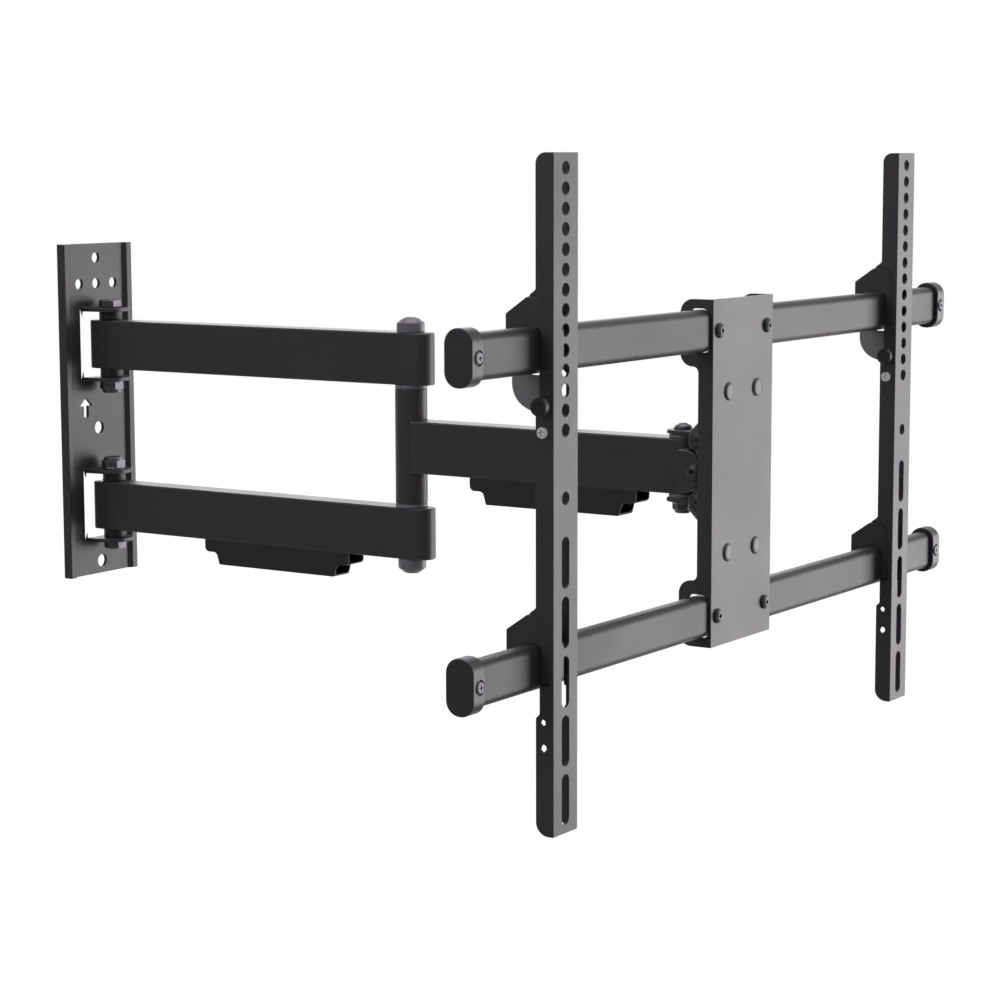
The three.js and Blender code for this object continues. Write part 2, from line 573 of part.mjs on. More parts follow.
function buildHead() {
  const group = assembly("head", 0, SWIVEL_Y, ARM_LEVEL);
  group.add(part("swivel_yoke", swivelYoke(), powderCoat()));
  const nutHeight = 8.6;
  const span = 2 * YOKE_EAR_OUTER + 2 * SEAT;
  const bolt = buttonScrew(6.6, 4.2, SWIVEL_BOLT_RADIUS, span + nutHeight - 2, 5);
  group.add(part("swivel_bolt", bolt, blackSteel(), 0, 0, YOKE_EAR_OUTER + SEAT));
  const nut = headTowards.down(hexNut(13, nutHeight, SWIVEL_BOLT_RADIUS + SEAT));
  group.add(part("swivel_nut", nut, blackSteel(), 0, 0, -YOKE_EAR_OUTER - SEAT));
  const washer = ring(SWIVEL_WASHER_RADIUS, SWIVEL_BOLT_RADIUS + FIT, SWIVEL_WASHER);
  group.add(part("swivel_washer_top", washer, blackPlastic(), 0, 0, ARM_HALF + SEAT));
  group.add(part("swivel_washer_bottom", washer, blackPlastic(), 0, 0, -ARM_HALF - SWIVEL_WASHER - SEAT));

  const tilt = -CENTRE_FACE + TILT_AXIS_DEPTH;
  const tiltNutHeight = 6.4;
  const tiltSpan = 2 * YOKE_HALF_WIDTH + 2 * SEAT;
  const tiltBolt = headTowards.left(buttonScrew(6, 3, TILT_BOLT_RADIUS, tiltSpan + tiltNutHeight - 2, 4));
  group.add(part("tilt_bolt", tiltBolt, blackSteel(), -YOKE_HALF_WIDTH - SEAT, tilt, 0));
  const tiltNut = headTowards.right(hexNut(10, tiltNutHeight, TILT_BOLT_RADIUS + SEAT));
  group.add(part("tilt_nut", tiltNut, blackSteel(), YOKE_HALF_WIDTH + SEAT, tilt, 0));
  return group;
}

// ---------------------------------------------------------------- tilting frame
/** U-shaped bracket riveted behind the centre plate; y is measured behind the plate's face. */
function tiltBracket() {
  const web = prism(
    "y", rectangle(-TILT_HALF_WIDTH, TILT_HALF_WIDTH, -TILT_WEB_HALF_HEIGHT, TILT_WEB_HALF_HEIGHT, 4, 3),
    TILT_WEB_FRONT, TILT_WEB_FRONT + TILT_SHEET,
    [1, -1].flatMap((sx) => [1, -1].map((sz) => circle(sx * RIVET_X, sz * RIVET_Z, RIVET_RADIUS + SEAT, 16))),
  );
  const rim = TILT_LOBE_DEPTH + TILT_LOBE_RADIUS;
  const upper = [
    [TILT_WEB_FRONT, TILT_CHEEK_ROOT], [rim, TILT_LOBE_HEIGHT + 5, 6], [rim, TILT_LOBE_HEIGHT - 4, 3],
    [TILT_AXIS_DEPTH, TILT_LOBE_HEIGHT - 8, 2],
  ];
  const mirrored = upper.map(([y, z, radius]) => [y, -z, radius]).reverse();
  const outline = rounded([...upper, ...mirrored], 4);
  const cheek = (x0) => cut(
    union(
      prism("x", outline, x0, x0 + TILT_SHEET),
      prism("x", circle(TILT_AXIS_DEPTH, 0, TILT_BOSS_RADIUS, 28), x0, x0 + TILT_SHEET),
    ),
    prism("x", circle(TILT_AXIS_DEPTH, 0, TILT_BOLT_RADIUS + FIT, 20), x0 - 1, x0 + TILT_SHEET + 1),
    ...[1, -1].map((s) => {
      const hole = circle(TILT_LOBE_DEPTH, s * TILT_LOBE_HEIGHT, STOP_SHANK_RADIUS + SEAT, 16);
      return prism("x", hole, x0 - 1, x0 + TILT_SHEET + 1);
    }),
  );
  return union(web, cheek(TILT_HALF_WIDTH - TILT_SHEET), cheek(-TILT_HALF_WIDTH));
}

/** Channel-shaped centre plate whose flanges widen into lobes round the rails. */
function centrePlate() {
  const half = CENTRE_WIDTH / 2;
  const top = CENTRE_HEIGHT / 2;
  const t = CENTRE_SHEET;
  const section = rounded([
    [-half, 0, SHEET_BEND], [half, 0, SHEET_BEND], [half, CENTRE_LOBE], [half - t, CENTRE_LOBE],
    [half - t, t, 0.3], [-half + t, t, 0.3], [-half + t, CENTRE_LOBE], [-half, CENTRE_LOBE],
  ], 3);
  const rail = RAIL_SPACING / 2;
  const lobe = (s) => [
    [CENTRE_LOBE, s * top, 9.5], [CENTRE_LOBE, s * (rail - CENTRE_LOBE_DROP), 9.5],
    [CENTRE_FLANGE, s * (rail - CENTRE_LOBE_DROP), 4.3],
  ];
  const outline = rounded([[-1, top], ...lobe(1), ...lobe(-1).reverse(), [-1, -top]], 4);
  let plate = prism("z", section, -top, top).intersect(prism("x", outline, -half - 1, half + 1));
  const room = RAIL_HOLE_ROOM;
  for (const level of RAIL_LEVELS) {
    const foot = level - RAIL_HEIGHT / 2 - FIT;
    const head = level + RAIL_HEIGHT / 2 + room;
    const [front, back] = [RAIL_FRONT - SEAT, RAIL_FRONT + RAIL_DEPTH + room];
    const passage = rounded([
      [front, foot, 4.5], [back, foot, 4.5], [back, head, 3.5], [front, head, 6.4],
    ], 4);
    for (const s of [1, -1]) {
      const x0 = Math.min(s * (half - t - 1), s * (half + 1));
      plate = cut(plate, prism("x", passage, x0, x0 + t + 2));
    }
    for (const s of [1, -1]) {
      plate = cut(plate, prism("y", circle(s * RAIL_SCREW_X, level, RAIL_SCREW_RADIUS + FIT, 14), -1, t + 1));
    }
  }
  for (const sx of [1, -1]) {
    for (const sz of [1, -1]) {
      plate = cut(plate, prism("y", circle(sx * RIVET_X, sz * RIVET_Z, RIVET_RADIUS + SEAT, 16), -1, t + 1));
    }
  }
  return plate;
}

/** Rivet along Z with a flat round head above z = 0 and a closed head below the two sheets. */
function rivet() {
  const grip = CENTRE_SHEET + TILT_SHEET + 3 * SEAT;
  return union(
    turned([
      [0, 0], [RIVET_HEAD_RADIUS, 0], [RIVET_HEAD_RADIUS, 0.5], [RIVET_HEAD_RADIUS - 1.6, 1.3], [0, 1.3],
    ], 18),
    prism("z", circle(0, 0, RIVET_RADIUS, 12), -grip - WELD, WELD),
    turned([[0, -grip - 2], [3.6, -grip - 2], [4.6, -grip - 1.2], [4.6, -grip], [0, -grip]], 12),
  );
}

/** Rectangle round (0, 0), given by its depth along y, its height along z and its corner radius. */
function upright(depth, height, radius) {
  return rectangle(-depth / 2, depth / 2, -height / 2, height / 2, radius, 4);
}

function railTube() {
  const end = RAIL_HALF_SPAN - CAP_END_WALL - SEAT;
  const section = (inset) => upright(RAIL_DEPTH - 2 * inset, RAIL_HEIGHT - 2 * inset, RAIL_ROUND - inset);
  let rail = prism("x", section(0), -end, end, [section(RAIL_WALL)]);
  const screwX = RAIL_HALF_SPAN - CAP_SCREW_INSET;
  const front = [-RAIL_DEPTH / 2 - 1, -RAIL_DEPTH / 2 + RAIL_WALL + 1];
  for (const s of [1, -1]) {
    rail = cut(
      rail,
      prism("y", circle(s * RAIL_SCREW_X, 0, RAIL_SCREW_RADIUS + FIT, 14), ...front),
      prism("y", circle(s * screwX, 0, CAP_SCREW_RADIUS + FIT, 12), ...front),
    );
  }
  return rail;
}

/** Plastic cap for the rail's end at +X; x = 0 is the cap's outer end. */
function endCap() {
  const outer = upright(CAP_DEPTH, CAP_HEIGHT, CAP_DEPTH / 2 - 0.5);
  const inset = upright(CAP_DEPTH - 2.4, CAP_HEIGHT - 2.4, CAP_DEPTH / 2 - 1.7);
  const socket = upright(RAIL_DEPTH + 2 * FIT, RAIL_HEIGHT + 2 * FIT, RAIL_ROUND + FIT);
  const front = -CAP_DEPTH / 2;
  return cut(
    union(prism("x", outer, -CAP_LENGTH, -1.2), prism("x", inset, -1.2 - WELD, 0)),
    prism("x", socket, -CAP_LENGTH - 1, -CAP_END_WALL),
    prism("y", circle(-CAP_SCREW_INSET, 0, CAP_SCREW_RADIUS + FIT, 12), front - 1, 0),
    prism("y", circle(-CAP_SCREW_INSET, 0, CAP_SCREW_RECESS, 16), front - 1, front + 1),
  );
}

function buildFrame() {
  const group = assembly("tilting_frame", 0, CENTRE_Y, ARM_LEVEL);
  group.add(part("centre_plate", centrePlate(), powderCoat()));
  group.add(part("tilt_bracket", tiltBracket(), powderCoat()));

  const stop = buttonScrew(STOP_HEAD_RADIUS, 1.6, STOP_SHANK_RADIUS, TILT_SHEET + 2.5, 3);
  for (const [side, s] of [["left", -1], ["right", 1]]) {
    for (const [where, u] of [["upper", 1], ["lower", -1]]) {
      const facing = s < 0 ? headTowards.left(stop) : headTowards.right(stop);
      const x = s * (TILT_HALF_WIDTH + SEAT);
      const z = u * TILT_LOBE_HEIGHT;
      group.add(part(`tilt_stop_screw_${where}_${side}`, facing, blackSteel(), x, TILT_LOBE_DEPTH, z));
    }
  }
  const frontRivet = headTowards.front(rivet());
  for (const [side, s] of [["left", -1], ["right", 1]]) {
    for (const [where, u] of [["upper", 1], ["lower", -1]]) {
      group.add(part(`rivet_${where}_${side}`, frontRivet, blackSteel(), s * RIVET_X, -SEAT, u * RIVET_Z));
    }
  }

  const railScrew = headTowards.front(buttonScrew(5.2, 2.6, RAIL_SCREW_RADIUS, 13, 3));
  const capScrew = headTowards.front(crossScrew(CAP_SCREW_HEAD, 1.8, CAP_SCREW_RADIUS, 9));
  const cap = endCap();
  for (const [i, where] of ["upper", "lower"].entries()) {
    const z = RAIL_LEVELS[i];
    group.add(part(`rail_${where}`, railTube(), powderCoat(), 0, RAIL_MIDDLE, z));
    for (const [side, s] of [["left", -1], ["right", 1]]) {
      group.add(part(`rail_screw_${where}_${side}`, railScrew, blackSteel(), s * RAIL_SCREW_X, -SEAT, z));
      const facing = s > 0 ? cap : cap.mirror([1, 0, 0]);
      group.add(part(`end_cap_${where}_${side}`, facing, blackPlastic(), s * RAIL_HALF_SPAN, RAIL_MIDDLE, z));
      const screwX = s * (RAIL_HALF_SPAN - CAP_SCREW_INSET);
      const seat = RAIL_MIDDLE - CAP_DEPTH / 2 + 1 - SEAT;
      group.add(part(`cap_screw_${where}_${side}`, capScrew, blackSteel(), screwX, seat, z));
    }
  }
  return group;
}

// ---------------------------------------------------------------- TV brackets
/** Slotted channel with hook plates; y is behind the face and z from the middle of the rails. */
function tvBracket() {
  const half = BRACKET_WIDTH / 2;
  const t = BRACKET_SHEET;
  const top = BRACKET_TOP;
  const bottom = BRACKET_TOP - BRACKET_LENGTH;
  const section = rounded([
    [-half, 0, SHEET_BEND], [half, 0, SHEET_BEND], [half, BRACKET_DEPTH], [half - t, BRACKET_DEPTH],
    [half - t, t, 0.3], [-half + t, t, 0.3], [-half + t, BRACKET_DEPTH], [-half, BRACKET_DEPTH],
  ], 3);
  // Side view of a flange: relieved over each hook plate and notched below each rail.
  const notchOf = { "-1": NOTCH_DEPTH, 1: DEEP_NOTCH_DEPTH };
  const besideRail = (z, notch) => [
    [BRACKET_DEPTH, z + 34], [RELIEF_DEPTH, z + 34, 9], [RELIEF_DEPTH, z - 11.2],
    [notch, z - 11.2], [notch, z - 29.5, 2], [BRACKET_DEPTH, z - 32, 1.5],
  ];
  const outline = (s) => rounded([
    [-1, top], [BRACKET_DEPTH, top, 7], ...RAIL_LEVELS.flatMap((z) => besideRail(z, notchOf[s])),
    [BRACKET_DEPTH, bottom, 9], [-1, bottom],
  ], 3);
  const sides = union(prism("x", outline(-1), -half - 1, 0), prism("x", outline(1), 0, half + 1));
  let bracket = prism("z", section, bottom, top).intersect(sides);

  const faceHoles = [];
  for (let i = 0; i < HOLE_COUNT; i++) {
    faceHoles.push(circle(0, top - FIRST_HOLE - i * HOLE_PITCH, HOLE_RADIUS, 12));
  }
  faceHoles.push(circle(0, top - LONE_HOLE, HOLE_RADIUS, 12));
  for (let i = 0; i < SLOT_COUNT; i++) {
    const upper = top - FIRST_SLOT - i * SLOT_PITCH;
    faceHoles.push(slot(0, upper - SLOT_LENGTH, upper, HOLE_RADIUS));
  }
  for (const hole of faceHoles) bracket = cut(bracket, prism("y", hole, -1, t + 1));

  // Hook plate inside each flange: over the rail's top and down behind it.
  const railBack = BRACKET_TO_RAIL + RAIL_DEPTH + 2 * FIT;
  const railTop = RAIL_HEIGHT / 2 + FIT;
  const slopeAt = (depth) => HOOK_SHOULDER + (HOOK_REACH - depth) * HOOK_SLOPE;
  const hookFront = BRACKET_DEPTH - 0.4;
  for (const z of RAIL_LEVELS) {
    for (const s of [1, -1]) {
      const hook = rounded([
        [3.2, z + 46], [hookFront, z + 46, 2], [hookFront, slopeAt(hookFront) + z, 8],
        [HOOK_REACH, z + HOOK_SHOULDER, 1.2], [HOOK_REACH, z - HOOK_DROP, 3],
        [railBack, z - HOOK_DROP, 2], [railBack, z + railTop, RAIL_ROUND],
        [notchOf[s], z + railTop, RAIL_ROUND * 0.8], [notchOf[s], z - 15, 2], [3.2, z - 15],
      ], 3);
      const x0 = Math.min(s * (half - t + WELD), s * (half - t - HOOK_SHEET));
      bracket = union(bracket, prism("x", hook, x0, x0 + HOOK_SHEET + WELD));
    }
  }

  // Pivot and safety-screw holes under both rails, through the left flange and hook plate.
  for (const z of RAIL_LEVELS) {
    const pivot = circle(LATCH_PIVOT_DEPTH, z - LATCH_PIVOT_DROP, LATCH_PIN_RADIUS + FIT, 14);
    const safety = circle(SAFETY_DEPTH, z - SAFETY_DROP, SAFETY_SHANK_RADIUS + FIT, 14);
    bracket = cut(bracket, prism("x", pivot, -half - 1, 0), prism("x", safety, -half - 1, 0));
  }
  return bracket;
}

/** Rounded latch plate that swings up under the rail; (0, 0) is its pivot. */
function latchPlate() {
  const y = (depth) => depth - LATCH_PIVOT_DEPTH;
  const underRail = LATCH_PIVOT_DROP - RAIL_HEIGHT / 2 - FIT;
  const outline = rounded([
    [y(10.6), underRail - 0.5], [-1, 6.5], [-LATCH_BOSS, 3, 4], [-LATCH_BOSS, -4, 4],
    [0, -LATCH_BOSS, 5], [y(18.5), -3], [y(LATCH_FAR), 2.5, 17], [y(LATCH_FAR), underRail, 1],
    [y(18.5), underRail, 0.2], [y(17.6), underRail - 0.5, 0.2],
  ], 5);
  return prism("x", outline, 0, LATCH_SHEET, [circle(0, 0, LATCH_PIN_RADIUS + SEAT, 14)]);
}

function buildBracket(side, s) {
  const group = assembly(`bracket_${side}`, s * BRACKET_X, BRACKET_Y, ARM_LEVEL);
  group.add(part(`tv_bracket_${side}`, tvBracket(), powderCoat()));
  const half = BRACKET_WIDTH / 2;
  const level = RAIL_LEVELS[0];
  const inside = -half + BRACKET_SHEET + FIT;
  const pivotZ = level - LATCH_PIVOT_DROP;
  group.add(part(`latch_${side}`, latchPlate(), latchSteel(), inside, LATCH_PIVOT_DEPTH, pivotZ));
  const pinLength = BRACKET_SHEET + LATCH_SHEET + 2 * FIT + 1;
  const knob = union(
    turned([
      [0, 0], [KNOB_RADIUS, 0], [KNOB_RADIUS, KNOB_LENGTH - 0.8],
      [KNOB_RADIUS - 0.8, KNOB_LENGTH], [0, KNOB_LENGTH],
    ]),
    prism("z", circle(0, 0, LATCH_PIN_RADIUS, 14), -pinLength, WELD),
  );
  const outside = -half - SEAT;
  const facing = headTowards.left(knob);
  group.add(part(`latch_knob_${side}`, facing, blackPlastic(), outside, LATCH_PIVOT_DEPTH, pivotZ));
  const safety = headTowards.left(crossScrew(SAFETY_HEAD_RADIUS, 2.4, SAFETY_SHANK_RADIUS, 8));
  const safetyZ = level - SAFETY_DROP;
  group.add(part(`safety_screw_${side}`, safety, zincSteel(), outside, SAFETY_DEPTH, safetyZ));
  return group;
}

// ---------------------------------------------------------------- whole mount
const mount = new THREE.Group();
mount.name = "tv_wall_mount";
mount.add(buildWall(), buildArms(), buildForearm(), buildHead(), buildFrame());
mount.add(buildBracket("left", -1), buildBracket("right", 1));

export default mount;
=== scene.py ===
"""Looks of a full motion television wall mount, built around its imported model.

Inside the classes lengths are millimetres in the model's own frame: +X along the wall, +Y into the
wall, +Z up. They become metres when a piece is settled on its body.
"""

import logging
import math
from collections.abc import Sequence
from dataclasses import dataclass, field
from enum import Enum

import bmesh
import bpy
from mathutils import Matrix, Vector


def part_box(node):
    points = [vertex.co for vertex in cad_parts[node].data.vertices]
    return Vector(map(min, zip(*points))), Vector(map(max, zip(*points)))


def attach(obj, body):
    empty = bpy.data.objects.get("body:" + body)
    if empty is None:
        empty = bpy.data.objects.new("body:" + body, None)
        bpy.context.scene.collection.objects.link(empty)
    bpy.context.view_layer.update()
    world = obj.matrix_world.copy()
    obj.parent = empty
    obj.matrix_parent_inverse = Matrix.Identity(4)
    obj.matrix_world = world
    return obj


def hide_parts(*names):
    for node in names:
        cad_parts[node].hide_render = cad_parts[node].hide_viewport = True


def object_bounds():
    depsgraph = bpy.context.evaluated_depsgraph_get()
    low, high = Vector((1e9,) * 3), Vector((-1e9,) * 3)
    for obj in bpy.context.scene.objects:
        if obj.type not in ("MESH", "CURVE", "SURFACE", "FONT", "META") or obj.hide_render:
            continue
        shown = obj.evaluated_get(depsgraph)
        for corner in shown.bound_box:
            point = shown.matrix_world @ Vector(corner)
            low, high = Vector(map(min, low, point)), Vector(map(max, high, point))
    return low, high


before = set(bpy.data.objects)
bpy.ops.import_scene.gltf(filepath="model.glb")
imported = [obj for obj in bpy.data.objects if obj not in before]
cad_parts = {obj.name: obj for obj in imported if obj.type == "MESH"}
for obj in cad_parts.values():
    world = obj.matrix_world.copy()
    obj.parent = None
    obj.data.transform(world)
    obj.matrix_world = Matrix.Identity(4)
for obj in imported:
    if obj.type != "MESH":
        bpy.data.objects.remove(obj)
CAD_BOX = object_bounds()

log = logging.getLogger("tv_wall_mount")
Point = tuple[float, float]
Corner = tuple[float, ...]

MM = 0.001  # metres
PAST = 1.0  # how far a cutter runs past what it cuts
PLAY = 0.3  # a bore's radius is this much more than that of what runs in it
GAP = 0.15  # between two pieces that rest on each other
MERGED = 0.002  # corners that are closer than this are one
FLAT = math.radians(0.4)  # faces that turn less than this are one flat
CREASE = math.radians(40)  # edges that turn more than this stay sharp
ROUND = 48  # flats round a circle


# ---------------------------------------------------------------- named choices
class Where(Enum):
    """A choice of place, named by the word that the model's nodes are named with."""

    @property
    def word(self) -> str:
        """The word for this place in a node's name."""
        return self.name.lower()


class Side(Where):
    """A side of the mount as the room sees it, with its sign on X."""

    LEFT = -1
    RIGHT = 1


class Level(Where):
    """The upper or the lower one of two, with its sign on Z."""

    UPPER = 1
    LOWER = -1


class Slot(Enum):
    """The record's material slots that the pieces take their finish from."""

    COAT = "powder_coat"
    STEEL = "black_steel"
    PLASTIC = "black_plastic"
    LATCH = "latch_steel"
    ZINC = "bright_zinc"


class Boolean(Enum):
    """What two solids make together, as Blender names it."""

    CUT = "DIFFERENCE"
    WELD = "UNION"
    COMMON = "INTERSECT"


class Axis(Enum):
    """The axis an outline is drawn out along, with what turns (x, y, distance) into a place."""

    X = ((0, 0, 1), (1, 0, 0), (0, 1, 0))
    Y = ((1, 0, 0), (0, 0, 1), (0, 1, 0))
    Z = ((1, 0, 0), (0, 1, 0), (0, 0, 1))

    def place(self, a: float, b: float, along: float) -> Vector:
        """Gives the place of an outline's point at a distance along the axis."""
        return Matrix(self.value) @ Vector((a, b, along))


class Facing(Enum):
    """Where the head of a fastener made along +Z ends up facing, as the turn that takes it."""

    UP = (0.0, 0.0, 0.0)
    DOWN = (math.pi, 0.0, 0.0)
    FRONT = (math.pi / 2, 0.0, 0.0)
    LEFT = (0.0, -math.pi / 2, 0.0)
    RIGHT = (0.0, math.pi / 2, 0.0)
    ABOUT = (0.0, math.pi, 0.0)


# ---------------------------------------------------------------- small helpers
def linear(code: str) -> tuple[float, float, float, float]:
    """Turns an sRGB hex colour into the linear colour that sockets hold.

    Args:
        code: The colour as "#rrggbb".

    Returns:
        Red, green, blue and a full alpha.
    """
    parts = [int(code[i : i + 2], 16) / 255 for i in (1, 3, 5)]
    red, green, blue = (c / 12.92 if c <= 0.04045 else ((c + 0.055) / 1.055) ** 2.4 for c in parts)
    return red, green, blue, 1.0


def per_mm(size: float) -> float:
    """Gives the texture scale, in repeats to the metre, of a pattern that repeats every size mm."""
    return 1 / (size * MM)


def add(
    tree: bpy.types.NodeTree, kind: str, inputs: dict | None = None, **settings: object
) -> bpy.types.Node:
    """Adds one node, sets it up and links it.

    Args:
        tree: The tree the node goes into.
        kind: The node's Blender type.
        inputs: Values for its input sockets, or the sockets that feed them.
        settings: The node's own properties.

    Returns:
        The new node.
    """
    node = tree.nodes.new(kind)
    for name, value in settings.items():
        setattr(node, name, value)
    for key, value in (inputs or {}).items():
        if isinstance(value, bpy.types.NodeSocket):
            tree.links.new(value, node.inputs[key])
        else:
            node.inputs[key].default_value = value
    return node


@dataclass(frozen=True)
class Room:
    """The box that one node of the model fills, in millimetres."""

    low: Vector
    high: Vector

    @classmethod
    def of(cls, node: str) -> "Room":
        """Reads the box of the node with that name."""
        low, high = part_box(node)
        return cls(low / MM, high / MM)

    @property
    def mid(self) -> Vector:
        """The middle of the box."""
        return (self.low + self.high) / 2

    def end(self, side: Side) -> float:
        """Gives the X of the box's end on one side."""
        return self.high.x if side is Side.RIGHT else self.low.x


# ---------------------------------------------------------------- finishes
@dataclass(frozen=True)
class Finish:
    """What a surface is made of and how: one material for its faces and one for its edges."""

    name: str
    colour: str
    tone: str  # what the colour drifts to across the piece
    # lighter than the faces: a painted highlight on the coats and moulded plastics, wear on the
    # plated metals
    edge_colour: str
    metallic: float
    roughness: float
    roughness_drift: float
    edge_roughness: float
    grain: float  # millimetres across one bump
    grain_depth: float  # millimetres
    cloud: float  # millimetres across one patch of tone
    cloud_detail: float = 4.0  # how many finer patches lie on the patches
    grain_detail: float = 2.0
    grain_bite: float = 0.6  # how strong the finer bumps are
    noise_span: tuple[float, float] = (0.6, 1.4)  # where the two noises' sum lies

    def _surface(
        self, name: str, colour: str, tone: str, roughness: float
    ) -> bpy.types.Material:
        """Makes the node tree that the faces and the edges share.

        Args:
            name: The material's name.
            colour: Its colour.
            tone: The colour it drifts to.
            roughness: The middle of its roughness.

        Returns:
            The material.
        """
        material = bpy.data.materials.new(name)
        material.use_nodes = True
        tree = material.node_tree
        tree.nodes.clear()
        place = add(tree, "ShaderNodeTexCoord").outputs["Object"]
        patches = {"Scale": per_mm(self.cloud), "Detail": self.cloud_detail}
        cloud = add(tree, "ShaderNodeTexNoise", {"Vector": place, **patches}).outputs["Fac"]
        bumps = {
            "Scale": per_mm(self.grain),
            "Detail": self.grain_detail,
            "Roughness": self.grain_bite,
        }
        grain = add(tree, "ShaderNodeTexNoise", {"Vector": place, **bumps}).outputs["Fac"]
        mixed = add(
            tree,
            "ShaderNodeMix",
            {0: cloud, 6: linear(colour), 7: linear(tone)},
            data_type="RGBA",
        )
        both = add(tree, "ShaderNodeMath", {0: cloud, 1: grain}, operation="ADD")
        gloss = add(
            tree,
            "ShaderNodeMapRange",
            {
                "Value": both.outputs[0],
                "From Min": self.noise_span[0],
                "From Max": self.noise_span[1],
                "To Min": roughness - self.roughness_drift,
                "To Max": roughness + self.roughness_drift,
            },
        )
        bump = add(
            tree,
            "ShaderNodeBump",
            {"Height": grain, "Strength": 1.0, "Distance": self.grain_depth * MM},
        )
        shader = add(
            tree,
            "ShaderNodeBsdfPrincipled",
            {
                "Base Color": mixed.outputs[2],
                "Roughness": gloss.outputs["Result"],
                "Metallic": self.metallic,
                "Normal": bump.outputs["Normal"],
            },
        )
        add(tree, "ShaderNodeOutputMaterial", {"Surface": shader.outputs["BSDF"]})
        return material

    def materials(self) -> tuple[bpy.types.Material, bpy.types.Material]:
        """Gives the material of the faces and that of the edges, making them the first time.

        Returns:
            The two materials.
        """
        edge_name = self.name + " at an edge"
        face = bpy.data.materials.get(self.name)
        edge = bpy.data.materials.get(edge_name)
        if face is None:
            face = self._surface(self.name, self.colour, self.tone, self.roughness)
            edge = self._surface(edge_name, self.edge_colour, self.edge_colour, self.edge_roughness)
        return face, edge


# Polyester powder, sprayed and stoved on steel: a soft satin with a fine orange peel, a little
# glossier along the sheared edges, where a lighter colour is painted on as a highlight. The peel is
# drawn at 0.9 mm, about twice its real size, so that it still shows as a slight life in the
# highlights.
POWDER_COAT = Finish(
    "powder coated steel, satin black",
    colour="#3c393d", tone="#423f43", edge_colour="#4c494d",
    metallic=0.0, roughness=0.42, roughness_drift=0.05, edge_roughness=0.33,
    grain=0.9, grain_depth=0.006, cloud=70,
)
# The same powder on the drawn rail tubes: a little softer, and a shade darker than on the plates
# as painted shade for the shade the rails lie in; their edges are painted lighter as a highlight.
SHADED_TUBE_COAT = Finish(
    "powder coated steel tube, satin black",
    colour="#333034", tone="#39363a", edge_colour="#3c393d",
    metallic=0.0, roughness=0.46, roughness_drift=0.05, edge_roughness=0.40,
    grain=0.9, grain_depth=0.006, cloud=70,
)
# The same powder on the small tilt bracket, painted a lighter grey than the plates in front of it
# as painted light for the light its cheeks catch; its edges are painted lighter still as a
# highlight.
PAINTED_LIGHT_COAT = Finish(
    "powder coated steel, thin coat",
    colour="#605d62", tone="#68656a", edge_colour="#7b787d",
    metallic=0.1, roughness=0.42, roughness_drift=0.06, edge_roughness=0.33,
    grain=0.9, grain_depth=0.006, cloud=30,
)
# Polypropylene moulded against a spark-eroded tool: matt, with a fine even grain and slightly
# polished corners, painted a little lighter there as a highlight.
MOULDED_PLASTIC = Finish(
    "moulded polypropylene, spark-eroded grain",
    colour="#272528", tone="#2c2a2e", edge_colour="#343136",
    metallic=0.0, roughness=0.52, roughness_drift=0.05, edge_roughness=0.42,
    grain=0.6, grain_depth=0.010, cloud=40,
)
# ABS moulded against a finely sanded tool: as light as the coat beside it, with clean glossy
# corners that are painted lighter as a highlight.
MOULDED_ABS = Finish(
    "moulded ABS, fine satin",
    colour="#37343a", tone="#3c393f", edge_colour="#4d4a50",
    metallic=0.0, roughness=0.38, roughness_drift=0.04, edge_roughness=0.30,
    grain=0.6, grain_depth=0.006, cloud=40,
)
# Nylon moulded in a polished tool: smooth mid grey, with a clear sheen round every rim, painted on
# as a lighter rim colour.
MOULDED_NYLON = Finish(
    "moulded grey nylon, polished tool",
    colour="#7b787e", tone="#828085", edge_colour="#9a979e",
    metallic=0.0, roughness=0.30, roughness_drift=0.04, edge_roughness=0.22,
    grain=0.6, grain_depth=0.003, cloud=30,
)
# Cold-formed steel, zinc plated and blackened: dark grey metal that catches bright glints on its
# flats and is worn bright along its corners.
BLACK_ZINC = Finish(
    "black zinc plated steel, cold formed",
    colour="#5e5c60", tone="#69676b", edge_colour="#8a898c",
    metallic=0.6, roughness=0.36, roughness_drift=0.06, edge_roughness=0.22,
    grain=0.5, grain_depth=0.004, cloud=9,
)
# Steel screws in a chemical black oxide: nearly as dark as the coat beside them, with worn bright
# rims.
BLACK_OXIDE = Finish(
    "black oxide steel, machined",
    colour="#3f3e41", tone="#484749", edge_colour="#77767a",
    metallic=0.3, roughness=0.36, roughness_drift=0.05, edge_roughness=0.28,
    grain=0.5, grain_depth=0.004, cloud=8,
)
# Punched sheet with a thin grey plating left as it came from the barrel: a dull even metal.
GREY_PLATING = Finish(
    "barrel plated sheet steel, dull grey",
    colour="#878489", tone="#918e93", edge_colour="#aba9ad",
    metallic=0.35, roughness=0.46, roughness_drift=0.06, edge_roughness=0.34,
    grain=0.8, grain_depth=0.004, cloud=12,
)
# Clear zinc on a machined screw: pale blue-white metal, the brightest spot on the mount.
BRIGHT_ZINC = Finish(
    "bright zinc plated steel, machined",
    colour="#fafbfd", tone="#f6f7f9", edge_colour="#fcfcfd",
    metallic=1.0, roughness=0.58, roughness_drift=0.05, edge_roughness=0.46,
    grain=0.5, grain_depth=0.003, cloud=6,
)


